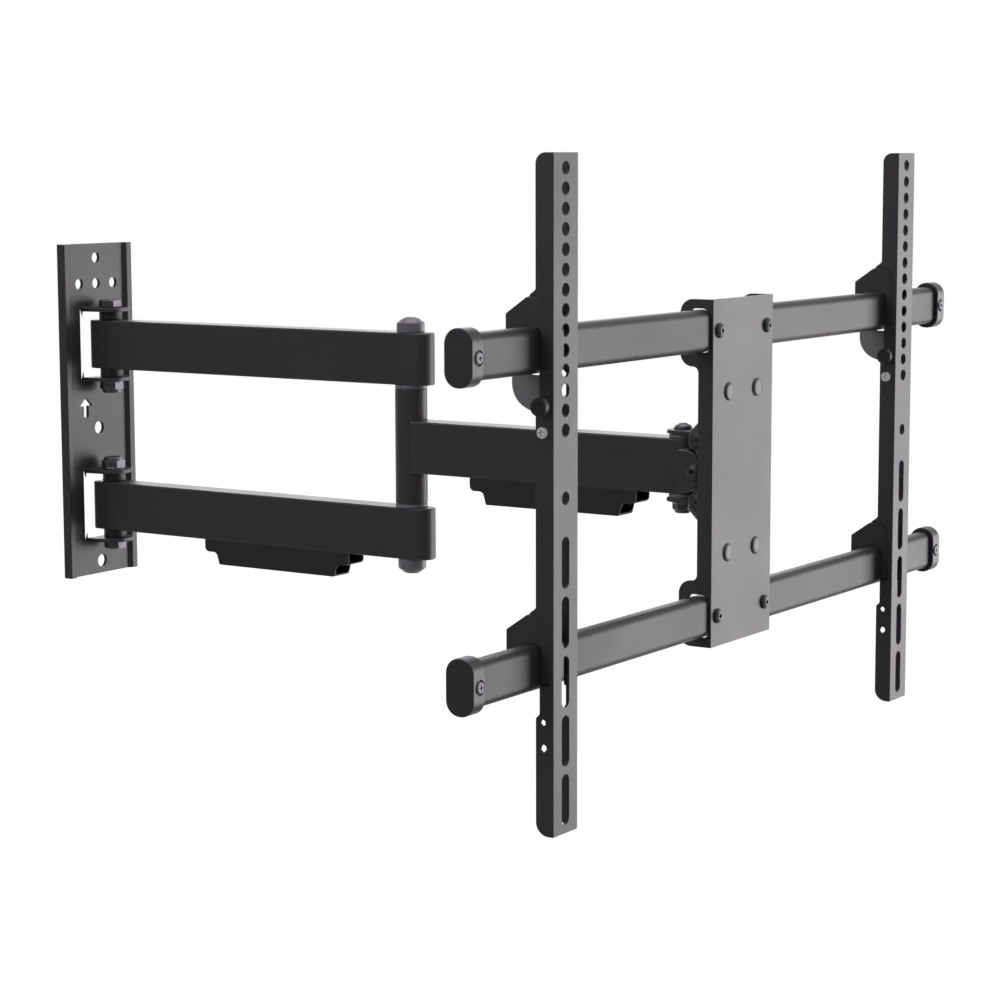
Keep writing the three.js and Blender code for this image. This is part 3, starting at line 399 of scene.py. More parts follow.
# ---------------------------------------------------------------- outlines
def rounded(corners: Sequence[Corner], steps: int = 10) -> list[Point]:
    """Draws an outline whose corners may be rounded.

    Args:
        corners: The corners as (x, y) or (x, y, radius).
        steps: How many straight steps make a quarter turn.

    Returns:
        The outline's points in order.
    """
    outline: list[Point] = []
    for i, corner in enumerate(corners):
        at = Vector(corner[:2])
        radius = corner[2] if len(corner) > 2 else 0
        if not radius:
            outline.append(tuple(at))
            continue
        back = (Vector(corners[i - 1][:2]) - at).normalized()
        ahead = (Vector(corners[(i + 1) % len(corners)][:2]) - at).normalized()
        half = math.acos(max(-1.0, min(1.0, back.dot(ahead)))) / 2
        middle = (back + ahead).normalized()
        centre = at + middle * (radius / math.sin(half))
        sweep = math.pi - 2 * half
        turn = -1 if back.cross(ahead) > 0 else 1
        count = max(1, round(sweep / (math.pi / 2) * steps))
        for s in range(count + 1):
            angle = turn * sweep * (s / count - 0.5)
            outline.append(tuple(centre + Matrix.Rotation(angle, 2) @ (middle * -radius)))
    return outline


def rectangle(
    x0: float, x1: float, y0: float, y1: float, radius: float = 0.0, steps: int = 10
) -> list[Point]:
    """Draws an upright rectangle, with its corners rounded where a radius is given."""
    corners = [(x0, y0, radius), (x1, y0, radius), (x1, y1, radius), (x0, y1, radius)]
    return rounded(corners, steps)


def circle(x: float, y: float, radius: float, segments: int = ROUND) -> list[Point]:
    """Draws a circle round (x, y), starting on its right.

    Args:
        x: The first coordinate of its middle.
        y: The second one.
        radius: Its radius.
        segments: How many flats go round.

    Returns:
        The outline's points in order, from its right.
    """
    turn = 2 * math.pi / segments
    steps = [i * turn for i in range(segments)]
    return [(x + radius * math.cos(a), y + radius * math.sin(a)) for a in steps]


def hexagon(across_flats: float) -> list[Point]:
    """Draws a hexagon of that size across its flats, round (0, 0)."""
    return circle(0, 0, across_flats / math.sqrt(3), 6)


def channel_section(half: float, depth: float, sheet: float, bend: float) -> list[Point]:
    """Draws the section of a channel folded from sheet, its web along X and its flanges back to Y.

    Args:
        half: Half its width.
        depth: How far its flanges reach back from its face.
        sheet: How thick it is.
        bend: The outer radius of its folds.

    Returns:
        The outline's points in order.
    """
    inner, crease = half - sheet, 0.3
    corners = [
        (-half, 0, bend), (half, 0, bend), (half, depth), (inner, depth),
        (inner, sheet, crease), (-inner, sheet, crease), (-inner, depth), (-half, depth),
    ]
    return rounded(corners, 8)


# ---------------------------------------------------------------- solids
def evaluated(thing: bpy.types.Object) -> bpy.types.Mesh:
    """Gives a plain mesh of an object with its modifiers worked out, and removes the object.

    Args:
        thing: The object.

    Returns:
        The mesh.
    """
    depsgraph = bpy.context.evaluated_depsgraph_get()
    mesh = bpy.data.meshes.new_from_object(thing.evaluated_get(depsgraph), depsgraph=depsgraph)
    bpy.data.objects.remove(thing)
    return mesh


def standing(mesh: bpy.types.Mesh) -> bpy.types.Object:
    """Puts a mesh in the scene as an object of its own.

    Args:
        mesh: The mesh.

    Returns:
        The object, at the origin.
    """
    thing = bpy.data.objects.new(mesh.name, mesh)
    bpy.context.scene.collection.objects.link(thing)
    return thing


class Solid:
    """A closed shape in millimetres that can be cut, joined, rounded and placed."""

    def __init__(self, mesh: bpy.types.Mesh) -> None:
        """Keeps the mesh it is given."""
        self.mesh = mesh

    @classmethod
    def shaped(cls, shape: bmesh.types.BMesh) -> "Solid":
        """Makes a solid of a finished bmesh, with its faces outwards.

        Args:
            shape: The bmesh, which is freed.

        Returns:
            The solid.
        """
        bmesh.ops.recalc_face_normals(shape, faces=shape.faces)
        mesh = bpy.data.meshes.new("solid")
        shape.to_mesh(mesh)
        shape.free()
        return cls(mesh)

    @classmethod
    def stacked(cls, layers: Sequence[Sequence[Sequence[float]]]) -> "Solid":
        """Makes a solid of closed outlines that lie behind each other.

        Args:
            layers: The outlines, each a list of (x, y, z) with as many points as the others.

        Returns:
            The solid, with a face over its first and its last outline.
        """
        shape = bmesh.new()
        rings = [[shape.verts.new(place) for place in layer] for layer in layers]
        count = len(rings[0])
        for near, far in zip(rings, rings[1:]):
            for i in range(count):
                k = (i + 1) % count
                shape.faces.new((near[i], near[k], far[k], far[i]))
        shape.faces.new(rings[0])
        shape.faces.new(rings[-1])
        return cls.shaped(shape)

    @classmethod
    def drawn(cls, axis: Axis, outline: Sequence[Point], start: float, end: float) -> "Solid":
        """Draws an outline out along an axis: (y, z) across X, (x, z) across Y, (x, y) across Z."""
        return cls.stacked([[axis.place(a, b, at) for a, b in outline] for at in (start, end)])

    @classmethod
    def turned(cls, profile: Sequence[Point], segments: int = 56) -> "Solid":
        """Turns a profile about Z.

        Args:
            profile: Points as (radius, z), the first and the last on the axis.
            segments: How many flats go round.

        Returns:
            The solid.
        """
        shape = bmesh.new()
        rings = [
            [shape.verts.new((x, y, z)) for x, y in circle(0, 0, radius, segments)]
            for radius, z in profile[1:-1]
        ]
        poles = [shape.verts.new((0, 0, profile[end][1])) for end in (0, -1)]
        for i in range(segments):
            k = (i + 1) % segments
            for below, above in zip(rings, rings[1:]):
                shape.faces.new((below[i], below[k], above[k], above[i]))
            shape.faces.new((poles[0], rings[0][k], rings[0][i]))
            shape.faces.new((poles[1], rings[-1][i], rings[-1][k]))
        return cls.shaped(shape)

    @classmethod
    def rod(cls, radius: float, low: float, high: float, segments: int = 56) -> "Solid":
        """Makes a plain round rod along Z between two heights."""
        return cls.turned([(0, low), (radius, low), (radius, high), (0, high)], segments)

    def placed(
        self, x: float = 0, y: float = 0, z: float = 0, facing: Facing = Facing.UP
    ) -> "Solid":
        """Gives a copy turned to face one way and then moved.

        Args:
            x: How far it moves along X.
            y: How far it moves along Y.
            z: How far it moves along Z.
            facing: Where its +Z ends up facing.

        Returns:
            The copy.
        """
        mesh = self.mesh.copy()
        about_x, about_y, _ = facing.value
        turn = Matrix.Rotation(about_y, 4, "Y") @ Matrix.Rotation(about_x, 4, "X")
        mesh.transform(Matrix.Translation((x, y, z)) @ turn)
        return Solid(mesh)

    def upended(self) -> "Solid":
        """Gives a copy mirrored top to bottom across Z = 0.

        Returns:
            The copy.
        """
        shape = bmesh.new()
        shape.from_mesh(self.mesh)
        for vertex in shape.verts:
            vertex.co.z *= -1
        return Solid.shaped(shape)

    def _combined(self, kind: Boolean, others: Sequence["Solid"]) -> "Solid":
        """Works out one kind of boolean with each of the other solids in turn.

        Args:
            kind: The kind of boolean.
            others: The other solids.

        Returns:
            The result.
        """
        body = standing(self.mesh.copy())
        tools = [standing(other.mesh) for other in others]
        for tool in tools:
            step = body.modifiers.new("step", "BOOLEAN")
            step.operation = kind.value
            step.solver = "MANIFOLD"
            step.object = tool
        bpy.context.view_layer.update()
        mesh = evaluated(body)
        for tool in tools:
            bpy.data.objects.remove(tool)
        return Solid(mesh)

    def cut(self, *others: "Solid") -> "Solid":
        """Takes the other solids away from this one."""
        return self._combined(Boolean.CUT, others)

    def welded(self, *others: "Solid") -> "Solid":
        """Joins this solid and the others into one."""
        return self._combined(Boolean.WELD, others)

    def common(self, *others: "Solid") -> "Solid":
        """Keeps what this solid shares with the others."""
        return self._combined(Boolean.COMMON, others)

    def softened(
        self, finish: Finish, width: float = 0.4, segments: int = 2, angle: float = 32
    ) -> "Solid":
        """Rounds the edges and gives faces and edges their two materials.

        Args:
            finish: The finish of the piece.
            width: How far in from each edge the rounding starts.
            segments: How many flats make the rounding.
            angle: The smallest turn between two faces, in degrees, that counts as an edge.

        Returns:
            The finished solid.
        """
        shape = bmesh.new()
        shape.from_mesh(self.mesh)
        bmesh.ops.remove_doubles(shape, verts=shape.verts, dist=MERGED)
        bmesh.ops.dissolve_limit(
            shape, angle_limit=FLAT, verts=shape.verts, edges=shape.edges
        )
        mesh = bpy.data.meshes.new("softened")
        shape.to_mesh(mesh)
        shape.free()
        for material in finish.materials():
            mesh.materials.append(material)
        body = standing(mesh)
        edge = body.modifiers.new("edge", "BEVEL")
        edge.width = width
        edge.segments = segments
        edge.angle_limit = math.radians(angle)
        edge.use_clamp_overlap = False
        edge.miter_outer = "MITER_ARC"
        edge.material = 1
        bpy.context.view_layer.update()
        return Solid(evaluated(body))


def settle(
    name: str, body: str, nodes: Sequence[str], solids: Sequence[Solid]
) -> None:
    """Puts finished solids in the scene as one piece that stands for nodes of the model.

    Args:
        name: The piece's name.
        body: The body it moves with.
        nodes: The nodes it stands for.
        solids: The finished solids, in millimetres.
    """
    shape = bmesh.new()
    materials: list[bpy.types.Material] = []
    for solid in solids:
        own = solid.mesh.copy()
        materials.extend(material for material in own.materials if material not in materials)
        slots = [materials.index(material) for material in own.materials]
        for face in own.polygons:
            face.material_index = slots[face.material_index]
        shape.from_mesh(own)
    mesh = bpy.data.meshes.new(name)
    shape.to_mesh(mesh)
    shape.free()
    for material in materials:
        mesh.materials.append(material)
    mesh.transform(Matrix.Scale(MM, 4))
    mesh.shade_smooth()
    mesh.set_sharp_from_angle(angle=CREASE)
    draft = standing(mesh)
    evening = draft.modifiers.new("evening", "WEIGHTED_NORMAL")
    evening.keep_sharp = True
    bpy.context.view_layer.update()
    final = evaluated(draft)
    piece = standing(final)
    piece.name = name
    final.name = name
    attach(piece, body)
    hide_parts(*nodes)
    faces = len(final.polygons)
    log.info("%s rides on %s: %d faces, stands for %s", name, body, faces, ", ".join(nodes))


# ---------------------------------------------------------------- shapes that repeat
class Tree:
    """A Geometry Nodes tree with named inputs, worked out as a plain mesh."""

    def __init__(self, name: str, inputs: dict[str, str]) -> None:
        """Starts the tree with its group input and output.

        Args:
            name: The tree's name.
            inputs: The name and the kind of each input between the geometry and the material.
        """
        self.tree = bpy.data.node_groups.new(name, "GeometryNodeTree")
        face = self.tree.interface
        kinds = {"Geometry": "Geometry", **inputs, "Material": "Material"}
        self.sockets = {
            key: face.new_socket(key, in_out="INPUT", socket_type=f"NodeSocket{kind}")
            for key, kind in kinds.items()
        }
        face.new_socket("Geometry", in_out="OUTPUT", socket_type="NodeSocketGeometry")
        self.entry = add(self.tree, "NodeGroupInput").outputs

    def node(self, kind: str, inputs: dict | None = None, **settings: object) -> bpy.types.Node:
        """Adds a node to the tree."""
        return add(self.tree, kind, inputs, **settings)

    def close(self, instances: bpy.types.NodeSocket) -> None:
        """Ends the tree: makes the instances real and dresses them, all but their edges, which keep
        their own lighter colour: wear on the plated fasteners and a painted highlight on the
        moulded ones.

        Args:
            instances: What the tree has made so far.
        """
        real = self.node("GeometryNodeRealizeInstances", {"Geometry": instances})
        index = self.node("GeometryNodeInputMaterialIndex").outputs["Material Index"]
        plain = self.node(
            "FunctionNodeCompare", {2: index, 3: 0}, data_type="INT", operation="EQUAL"
        )
        dressed = self.node(
            "GeometryNodeSetMaterial",
            {
                "Geometry": real.outputs["Geometry"],
                "Selection": plain.outputs["Result"],
                "Material": self.entry["Material"],
            },
        )
        self.node("NodeGroupOutput", {"Geometry": dressed.outputs["Geometry"]})

    def solid(self, start: bpy.types.Mesh, values: dict[str, object]) -> Solid:
        """Works the tree out on a mesh.

        Args:
            start: The mesh the tree starts from.
            values: A value for each named input.

        Returns:
            The result as a solid.
        """
        carrier = standing(start)
        modifier = carrier.modifiers.new(self.tree.name, "NODES")
        modifier.node_group = self.tree
        for name, value in values.items():
            modifier[self.sockets[name].identifier] = value
        bpy.context.view_layer.update()
        return Solid(evaluated(carrier))


class Punch:
    """The row of round holes or long slots that a press punches at an even pitch."""

    def __init__(self) -> None:
        """Builds the tree: a slot-shaped punch, repeated down a line."""
        sizes = ("Pitch", "Radius", "Length", "Depth")
        tree = Tree("row of punches", {"Count": "Int", **dict.fromkeys(sizes, "Float")})
        entry = tree.entry
        post = tree.node(
            "GeometryNodeMeshCylinder",
            {"Vertices": ROUND, "Radius": entry["Radius"], "Depth": entry["Depth"]},
        )
        upright = tree.node(
            "GeometryNodeTransform",
            {"Geometry": post.outputs["Mesh"], "Rotation": Facing.FRONT.value},
        ).outputs["Geometry"]
        width = tree.node("ShaderNodeMath", {0: entry["Radius"], 1: 2.0}, operation="MULTIPLY")
        drop = tree.node(
            "ShaderNodeMath", {0: width.outputs[0], 1: entry["Length"]}, operation="SUBTRACT"
        )
        low = tree.node("ShaderNodeCombineXYZ", {"Z": drop.outputs[0]}).outputs["Vector"]
        moved = tree.node("GeometryNodeTransform", {"Geometry": upright, "Translation": low})
        pair = tree.node("GeometryNodeJoinGeometry", {"Geometry": upright})
        tree.tree.links.new(moved.outputs["Geometry"], pair.inputs["Geometry"])
        hull = tree.node("GeometryNodeConvexHull", {"Geometry": pair.outputs["Geometry"]})
        fall = tree.node("ShaderNodeMath", {0: entry["Pitch"], 1: -1.0}, operation="MULTIPLY")
        step = tree.node("ShaderNodeCombineXYZ", {"Z": fall.outputs[0]}).outputs["Vector"]
        line = tree.node("GeometryNodeMeshLine", {"Count": entry["Count"], "Offset": step})
        row = tree.node(
            "GeometryNodeInstanceOnPoints",
            {"Points": line.outputs["Mesh"], "Instance": hull.outputs["Convex Hull"]},
        )
        tree.close(row.outputs["Instances"])
        self.tree = tree

    def row(self, count: int, pitch: float, radius: float, length: float, depth: float) -> Solid:
        """Makes a row of punches that runs down from the origin and cuts along Y.

        Args:
            count: How many there are.
            pitch: From one to the next.
            radius: Half the width of each hole.
            length: Each hole from top to bottom.
            depth: How far each punch reaches, half of it on each side of the origin.

        Returns:
            The punches as one solid, the middle of the first hole's upper round end at the origin.
        """
        values = {
            "Count": count,
            "Pitch": pitch,
            "Radius": radius,
            "Length": length,
            "Depth": depth,
            "Material": POWDER_COAT.materials()[0],
        }
        return self.tree.solid(bpy.data.meshes.new("punch"), values)


@dataclass(frozen=True)
class Spot:
    """A place that a fastener is set in."""

    at: Vector
    facing: Facing

    @classmethod
    def flat(cls, node: str, y: float) -> "Spot":
        """Gives the place of a ring on the centre line that lies flat where a node does."""
        return cls(Vector((0, y, Room.of(node).low.z)), Facing.UP)


class FastenerSet:
    """One kind of screw, rivet, washer or cap, set in every place it is used."""

    def __init__(self) -> None:
        """Builds the tree: the fastener on each point, turned as the point's own turn says."""
        tree = Tree("set of fasteners", {"Fastener": "Object"})
        kind = tree.node("GeometryNodeObjectInfo", {"Object": tree.entry["Fastener"]})
        turn = tree.node(
            "GeometryNodeInputNamedAttribute", {"Name": "turn"}, data_type="FLOAT_VECTOR"
        )
        placed = tree.node(
            "GeometryNodeInstanceOnPoints",
            {
                "Points": tree.entry["Geometry"],
                "Instance": kind.outputs["Geometry"],
                "Rotation": turn.outputs["Attribute"],
            },
        )
        tree.close(placed.outputs["Instances"])
        self.tree = tree

    def at(self, solid: Solid, spots: Sequence[Spot]) -> list[Solid]:
        """Sets a finished fastener in all its places.

        Args:
            solid: The fastener, made along +Z, with its material on it.
            spots: Where each one goes and which way its head faces.

        Returns:
            All of them as one solid, in a list to settle.
        """
        material = solid.mesh.materials[0]
        fastener = standing(solid.mesh)
        points = bpy.data.meshes.new("places")
        points.from_pydata([tuple(spot.at) for spot in spots], [], [])
        turns = points.attributes.new("turn", "FLOAT_VECTOR", "POINT")
        for turn, spot in zip(turns.data, spots):
            turn.vector = spot.facing.value
        made = self.tree.solid(points, {"Fastener": fastener, "Material": material})
        bpy.data.objects.remove(fastener)
        return [made]


@dataclass(frozen=True)
class RailSection:
    """The oval tube section that the rails, their caps and the brackets' hooks share."""

    height: float = 29.2
    depth: float = 14.6
    corner: float = 5.5


class RailSweep:
    """A tube section swept along X, as a roll-formed rail is."""

    def __init__(self) -> None:
        """Builds the tree: a rounded section along a straight line, closed at both ends."""
        sizes = ("Half Length", "Depth", "Height", "Corner")
        tree = Tree("rolled rail", dict.fromkeys(sizes, "Float"))
        entry = tree.entry
        back = tree.node("ShaderNodeMath", {0: entry["Half Length"], 1: -1.0}, operation="MULTIPLY")
        first = tree.node("ShaderNodeCombineXYZ", {"X": back.outputs[0]})
        last = tree.node("ShaderNodeCombineXYZ", {"X": entry["Half Length"]})
        line = tree.node(
            "GeometryNodeCurvePrimitiveLine",
            {"Start": first.outputs["Vector"], "End": last.outputs["Vector"]},
        )
        section = tree.node(
            "GeometryNodeCurvePrimitiveQuadrilateral",
            {"Width": entry["Depth"], "Height": entry["Height"]},
        )
        corners = tree.node(
            "GeometryNodeFilletCurve",
            {"Curve": section.outputs["Curve"], "Radius": entry["Corner"], "Count": 10},
            mode="POLY",
        ).outputs["Curve"]
        tube = tree.node(
            "GeometryNodeCurveToMesh",
            {"Curve": line.outputs["Curve"], "Profile Curve": corners, "Fill Caps": True},
        )
        tree.close(tube.outputs["Mesh"])
        self.tree = tree

    def rail(self, half_length: float, section: RailSection, finish: Finish) -> Solid:
        """Sweeps one rail.

        Args:
            half_length: From its middle to each end.
            section: Its section.
            finish: Its finish.

        Returns:
            The rail, centred on the origin.
        """
        values = {
            "Half Length": half_length,
            "Depth": section.depth,
            "Height": section.height,
            "Corner": section.corner,
            "Material": finish.materials()[0],
        }
        swept = self.tree.solid(bpy.data.meshes.new("rail"), values)
        shape = bmesh.new()
        shape.from_mesh(swept.mesh)
        bmesh.ops.remove_doubles(shape, verts=shape.verts, dist=MERGED)
        return Solid.shaped(shape)


# ---------------------------------------------------------------- fasteners, made along +Z
def hex_body(across: float, low: float, high: float) -> Solid:
    """Makes a hexagonal body between two heights, its upper corners turned down to a round.

    Args:
        across: Its width across the flats.
        low: Its lower end.
        high: Its upper end.

    Returns:
        The body, unfinished.
    """
    body = Solid.drawn(Axis.Z, hexagon(across), low, high)
    chamfer, flat = math.radians(30), 0.93  # its angle, and the part of the width it leaves
    corner = across / math.sqrt(3) + PAST
    face = across / 2 * flat
    drop = (corner - face) * math.tan(chamfer)
    below = low - PAST
    cone = [(0, below), (corner, below), (corner, high - drop), (face, high), (0, high)]
    return body.common(Solid.turned(cone))


def hex_bolt(across: float, head: float, radius: float, length: float) -> Solid:
    """Makes a bolt.

    Args:
        across: The head across its flats.
        head: How high it stands.
        radius: The radius of its shank.
        length: The length of its shank.

    Returns:
        A chamfered hexagon head with a washer face, on a shank with a pointed end.
    """
    face_radius, face_height, under_head = across * 0.47, 0.8, 0.5
    point, root = 1.0, 0.4
    tip = [(0, -length), (radius - point, -length), (radius, -length + point)]
    shank = Solid.turned([*tip, (radius, root), (0, root)], 40)
    face = Solid.rod(face_radius, 0, face_height)
    return hex_body(across, under_head, head).welded(face, shank).softened(BLACK_ZINC, 0.25)


def locking_nut(across: float, height: float, bore: float) -> Solid:
    """Makes a flanged nut with a round locking collar.

    Args:
        across: Its hexagon across the flats.
        height: From its seat to the end of its collar.
        bore: The radius of its bore.

    Returns:
        The finished nut.
    """
    rim, root, collar_radius, crown = (across * part for part in (0.55, 0.5, 0.46, 0.4))
    flange = Solid.turned([(0, 0), (rim, 0), (rim, 0.9), (root, 1.6), (0, 1.6)])
    top = height - 0.2
    collar = Solid.turned(
        [(0, 1), (collar_radius, 1), (collar_radius, height - 1.1), (crown, top), (0, top)]
    )
    hole = Solid.rod(bore, -PAST, height + PAST, 40)
    body = hex_body(across, 1.2, height * 0.74).welded(flange, collar)
    return body.cut(hole).softened(BLACK_ZINC, 0.25)


def ring(outer: float, inner: float, height: float, finish: Finish, edge: float = 0.5) -> Solid:
    """Makes a plain washer or bush with rounded edges."""
    hole = Solid.rod(inner, -PAST, height + PAST, 48)
    return Solid.rod(outer, 0, height, 64).cut(hole).softened(finish, edge)


def shank_of(radius: float, length: float, head_radius: float) -> list[Point]:
    """Gives the profile of a screw from its plain shank's end to the underside of its head."""
    return [(0, -length), (radius, -length), (radius, 0), (head_radius, 0)]


def button_screw(
    head_radius: float, head: float, radius: float, length: float, socket: float, finish: Finish
) -> Solid:
    """Makes a screw with a low domed head, a hexagon socket and a plain shank.

    Args:
        head_radius: The radius of its head.
        head: How high it stands.
        radius: The radius of its shank.
        length: The length of its shank.
        socket: The socket across its flats.
        finish: Its finish.

    Returns:
        The finished screw.
    """
    rim, dome = head * 0.25, head * 0.75
    turns = [math.radians(degrees) for degrees in range(0, 61, 10)]
    arc = [(head_radius * math.cos(a), rim + dome * math.sin(a)) for a in turns]
    crown = [(head_radius * 0.5, head), (0, head)]
    body = Solid.turned([*shank_of(radius, length, head_radius), *arc, *crown])
    key = Solid.drawn(Axis.Z, hexagon(socket), rim, head + PAST)
    return body.cut(key).softened(finish, 0.18)


def cross_screw(
    head_radius: float, head: float, radius: float, length: float, finish: Finish
) -> Solid:
    """Makes a screw with a pan head and a cross recess.

    Args:
        head_radius: The radius of its head.
        head: How high it stands.
        radius: The radius of its shank.
        length: The length of its shank.
        finish: Its finish.

    Returns:
        The finished screw.
    """
    turns = [math.radians(degrees) for degrees in range(0, 91, 15)]
    flat, rim = 0.72, 0.35  # the parts of its radius and of its height that aren't rounded
    arc = [
        (
            head_radius * (flat + (1 - flat) * math.cos(a)),
            head * (rim + (1 - rim) * math.sin(a)),
        )
        for a in turns
    ]
    body = Solid.turned([*shank_of(radius, length, head_radius), *arc, (0, head)])
    wing, arm = head_radius * 0.13, head_radius * 0.58
    slots = [
        Solid.drawn(Axis.Z, rectangle(-x, x, -y, y, wing * 0.6, 3), head * 0.25, head + PAST)
        for x, y in ((arm, wing), (wing, arm))
    ]
    return body.cut(*slots).softened(finish, 0.12)


# ---------------------------------------------------------------- wall plate
@dataclass
class WallAnchor:
    """The folded wall plate, its four ears, and the bolts, nuts and bushes that carry the arms."""

    sheet: float = 3.0
    stand: float = 2.1  # wall to the back of the web
    rim_depth: float = 8.1
    rim_foot: float = 31.4  # where a rim's slope leaves the web
    rim_crest: float = 34.8
    rim_shift: tuple[float, float] = (1.6, 1.2)  # how far out its back lies at foot and crest
    fold: float = 0.9  # outer radius of the rims' folds
    inner_fold: float = 0.6
    pad: tuple[float, float] = (9.0, 12.0)  # the pad behind the web that bears on the wall
    window_width: float = 40.4
    ear_slit: float = 1.9
    ear_root: float = 9.0  # how far an ear keeps its full width
    nose: float = 14.2  # radius of an ear's tip
    bend: float = 4.0
    bend_tail: float = 2.0  # how far the bend runs on into the web
    pivot: float = 19.7  # wall to the arms' pivot
    ear_inner: float = 27.2  # arm's centre to the near face of an ear
    drill: float = 40.0  # how far the drill of the ears' bores reaches from the arm's centre
    holes: tuple[tuple[float, float, float], ...] = (
        (0, 126.2, 4.3), (-20.5, 105, 4.3), (0, 105, 4.3), (20.5, 105, 4.3),
        (0, -15.2, 5.2), (0, -127.7, 5.2),
    )  # X, Z and radius
    arrow_x: float = -15.4
    arrow_tip: float = 10.9
    arrow_head: tuple[float, float] = (7.2, 7.0)  # half its width, and its height
    arrow_shaft: tuple[float, float] = (2.6, 16.6)  # half its width, and the tip to its foot
    bolt_across: float = 16.0
    bolt_head: float = 6.4
    bolt_radius: float = 5.0
    bolt_stub: float = 0.9  # how far the bolt's end stays inside the nut
    nut_across: float = 17.0
    nut_height: float = 10.2
    room: Room = field(default_factory=lambda: Room.of("wall_plate"))

    @property
    def levels(self) -> list[float]:
        """The heights of the two arms' centre lines."""
        return [Room.of(f"{level.word}_arm").mid.z for level in Level]

    def ear(self, level: float, up: int) -> Solid:
        """Makes one ear: a strip folded forwards out of the plate, round at its tip and bored.

        Args:
            level: The height of the centre line of the arm it carries.
            up: 1 for the ear above the arm and -1 for the one below it.

        Returns:
            The ear in its place.
        """
        inner = level + up * self.ear_inner
        outer = inner + up * self.sheet
        tail = outer + up * self.bend_tail
        reach = -(self.pivot + self.nose)
        back, face = -self.stand, -self.stand - self.sheet
        profile = rounded(
            [
                (back, tail), (back, inner, self.bend), (reach, inner), (reach, outer),
                (face, outer, 1), (face, tail),
            ],
            8,
        )
        half = self.window_width / 2 - self.ear_slit
        strip = Solid.drawn(Axis.X, profile, -half, half)
        nose, tip, root = self.nose, self.nose * 0.98, -self.ear_root
        sides = [(nose, reach, tip), (half, root), (half, PAST)]
        plan = rounded([*((-x, *rest) for x, *rest in reversed(sides)), *sides])
        span = sorted((inner, inner + up * (self.sheet + self.ear_root)))
        blank = Solid.drawn(Axis.Z, plan, *span)
        bore = circle(0, -self.pivot, self.bolt_radius + PLAY)
        hole = Solid.drawn(Axis.Z, bore, level - self.drill, level + self.drill)
        return strip.common(blank).cut(hole)

    def arrow(self) -> list[Point]:
        """Draws the plain upward arrow that is cut through the plate.

        Returns:
            The outline in (x, z).
        """
        x, tip = self.arrow_x, self.arrow_tip
        wing, head = self.arrow_head
        shaft, length = self.arrow_shaft
        shoulder, foot = tip - head, tip - length
        return [
            (x, tip), (x - wing, shoulder), (x - shaft, shoulder), (x - shaft, foot),
            (x + shaft, foot), (x + shaft, shoulder), (x + wing, shoulder),
        ]

    def plate(self) -> Solid:
        """Makes the plate: a rolled section with windows, screw holes and the arrow cut in it.

        Returns:
            The plate with its ears, in its place.
        """
        half, top = self.room.high.x, self.room.high.z
        back, face = -self.stand, -self.stand - self.sheet
        rim_back = self.sheet - self.rim_depth
        foot_shift, crest_shift = self.rim_shift
        fold, inner_fold = self.fold, self.inner_fold
        right = [
            (self.rim_foot + foot_shift, back, 1.5),
            (self.rim_crest + crest_shift, rim_back, inner_fold),
            (half - self.sheet, rim_back, inner_fold),
            (half - self.sheet, 0),
            (half, 0),
            (half, -self.rim_depth, fold),
            (self.rim_crest, -self.rim_depth, fold),
            (self.rim_foot, face, fold),
        ]
        left = [(-x, y, *radius) for x, y, *radius in reversed(right)]
        plate = Solid.drawn(Axis.Z, rounded([*right, *left], 6), -top, top)
        outlines = [circle(x, z, radius) for x, z, radius in self.holes]
        outlines.append(self.arrow())
        wide, outer = self.window_width / 2, self.ear_inner + self.sheet
        outlines += [rectangle(-wide, wide, z - outer, z + outer, 1.5, 4) for z in self.levels]
        front = -self.rim_depth - PAST
        plate = plate.cut(*[Solid.drawn(Axis.Y, outline, front, PAST) for outline in outlines])
        return plate.welded(*[self.ear(level, up) for level in self.levels for up in (1, -1)])

    def build(self, fasteners: FastenerSet) -> None:
        """Makes and settles every piece of the wall anchor.

        Args:
            fasteners: What sets the fasteners.
        """
        body = "wall_base"
        wide, tall = self.pad[0] / 2, self.pad[1] / 2
        sunk = -self.stand - 0.4
        pad = Solid.drawn(Axis.Y, rectangle(-wide, wide, -tall, tall, 2, 6), sunk, 0)
        solids = [self.plate().softened(POWDER_COAT, 0.45), pad.softened(POWDER_COAT, 0.3)]
        settle("wall_anchor_plate", body, ["wall_plate"], solids)

        upper, lower = self.levels
        seat = self.ear_inner + self.sheet + GAP
        tops = Vector((0, -self.pivot, upper + seat)), Vector((0, -self.pivot, lower + seat))
        unders = Vector((0, -self.pivot, upper - seat)), Vector((0, -self.pivot, lower - seat))
        length = 2 * seat + self.nut_height - self.bolt_stub
        bolts = fasteners.at(
            hex_bolt(self.bolt_across, self.bolt_head, self.bolt_radius, length),
            [Spot(tops[0], Facing.UP), Spot(unders[1], Facing.DOWN)],
        )
        names = ["wall_bolt_upper", "wall_bolt_lower"]
        settle("wall_pivot_bolts", body, names, bolts)
        nuts = fasteners.at(
            locking_nut(self.nut_across, self.nut_height, self.bolt_radius),
            [Spot(unders[0], Facing.DOWN), Spot(tops[1], Facing.UP)],
        )
        names = ["wall_nut_upper", "wall_nut_lower"]
        settle("wall_pivot_nuts", body, names, nuts)

        names = [f"wall_bush_{level.word}_{end}" for level in Level for end in ("top", "bottom")]
        room = Room.of(names[0])
        bore = self.bolt_radius + PLAY
        bush = ring(room.high.x, bore, room.high.z - room.low.z, MOULDED_PLASTIC)
        bushes = fasteners.at(bush, [Spot.flat(name, -self.pivot) for name in names])
        settle("wall_pivot_bushes", body, names, bushes)


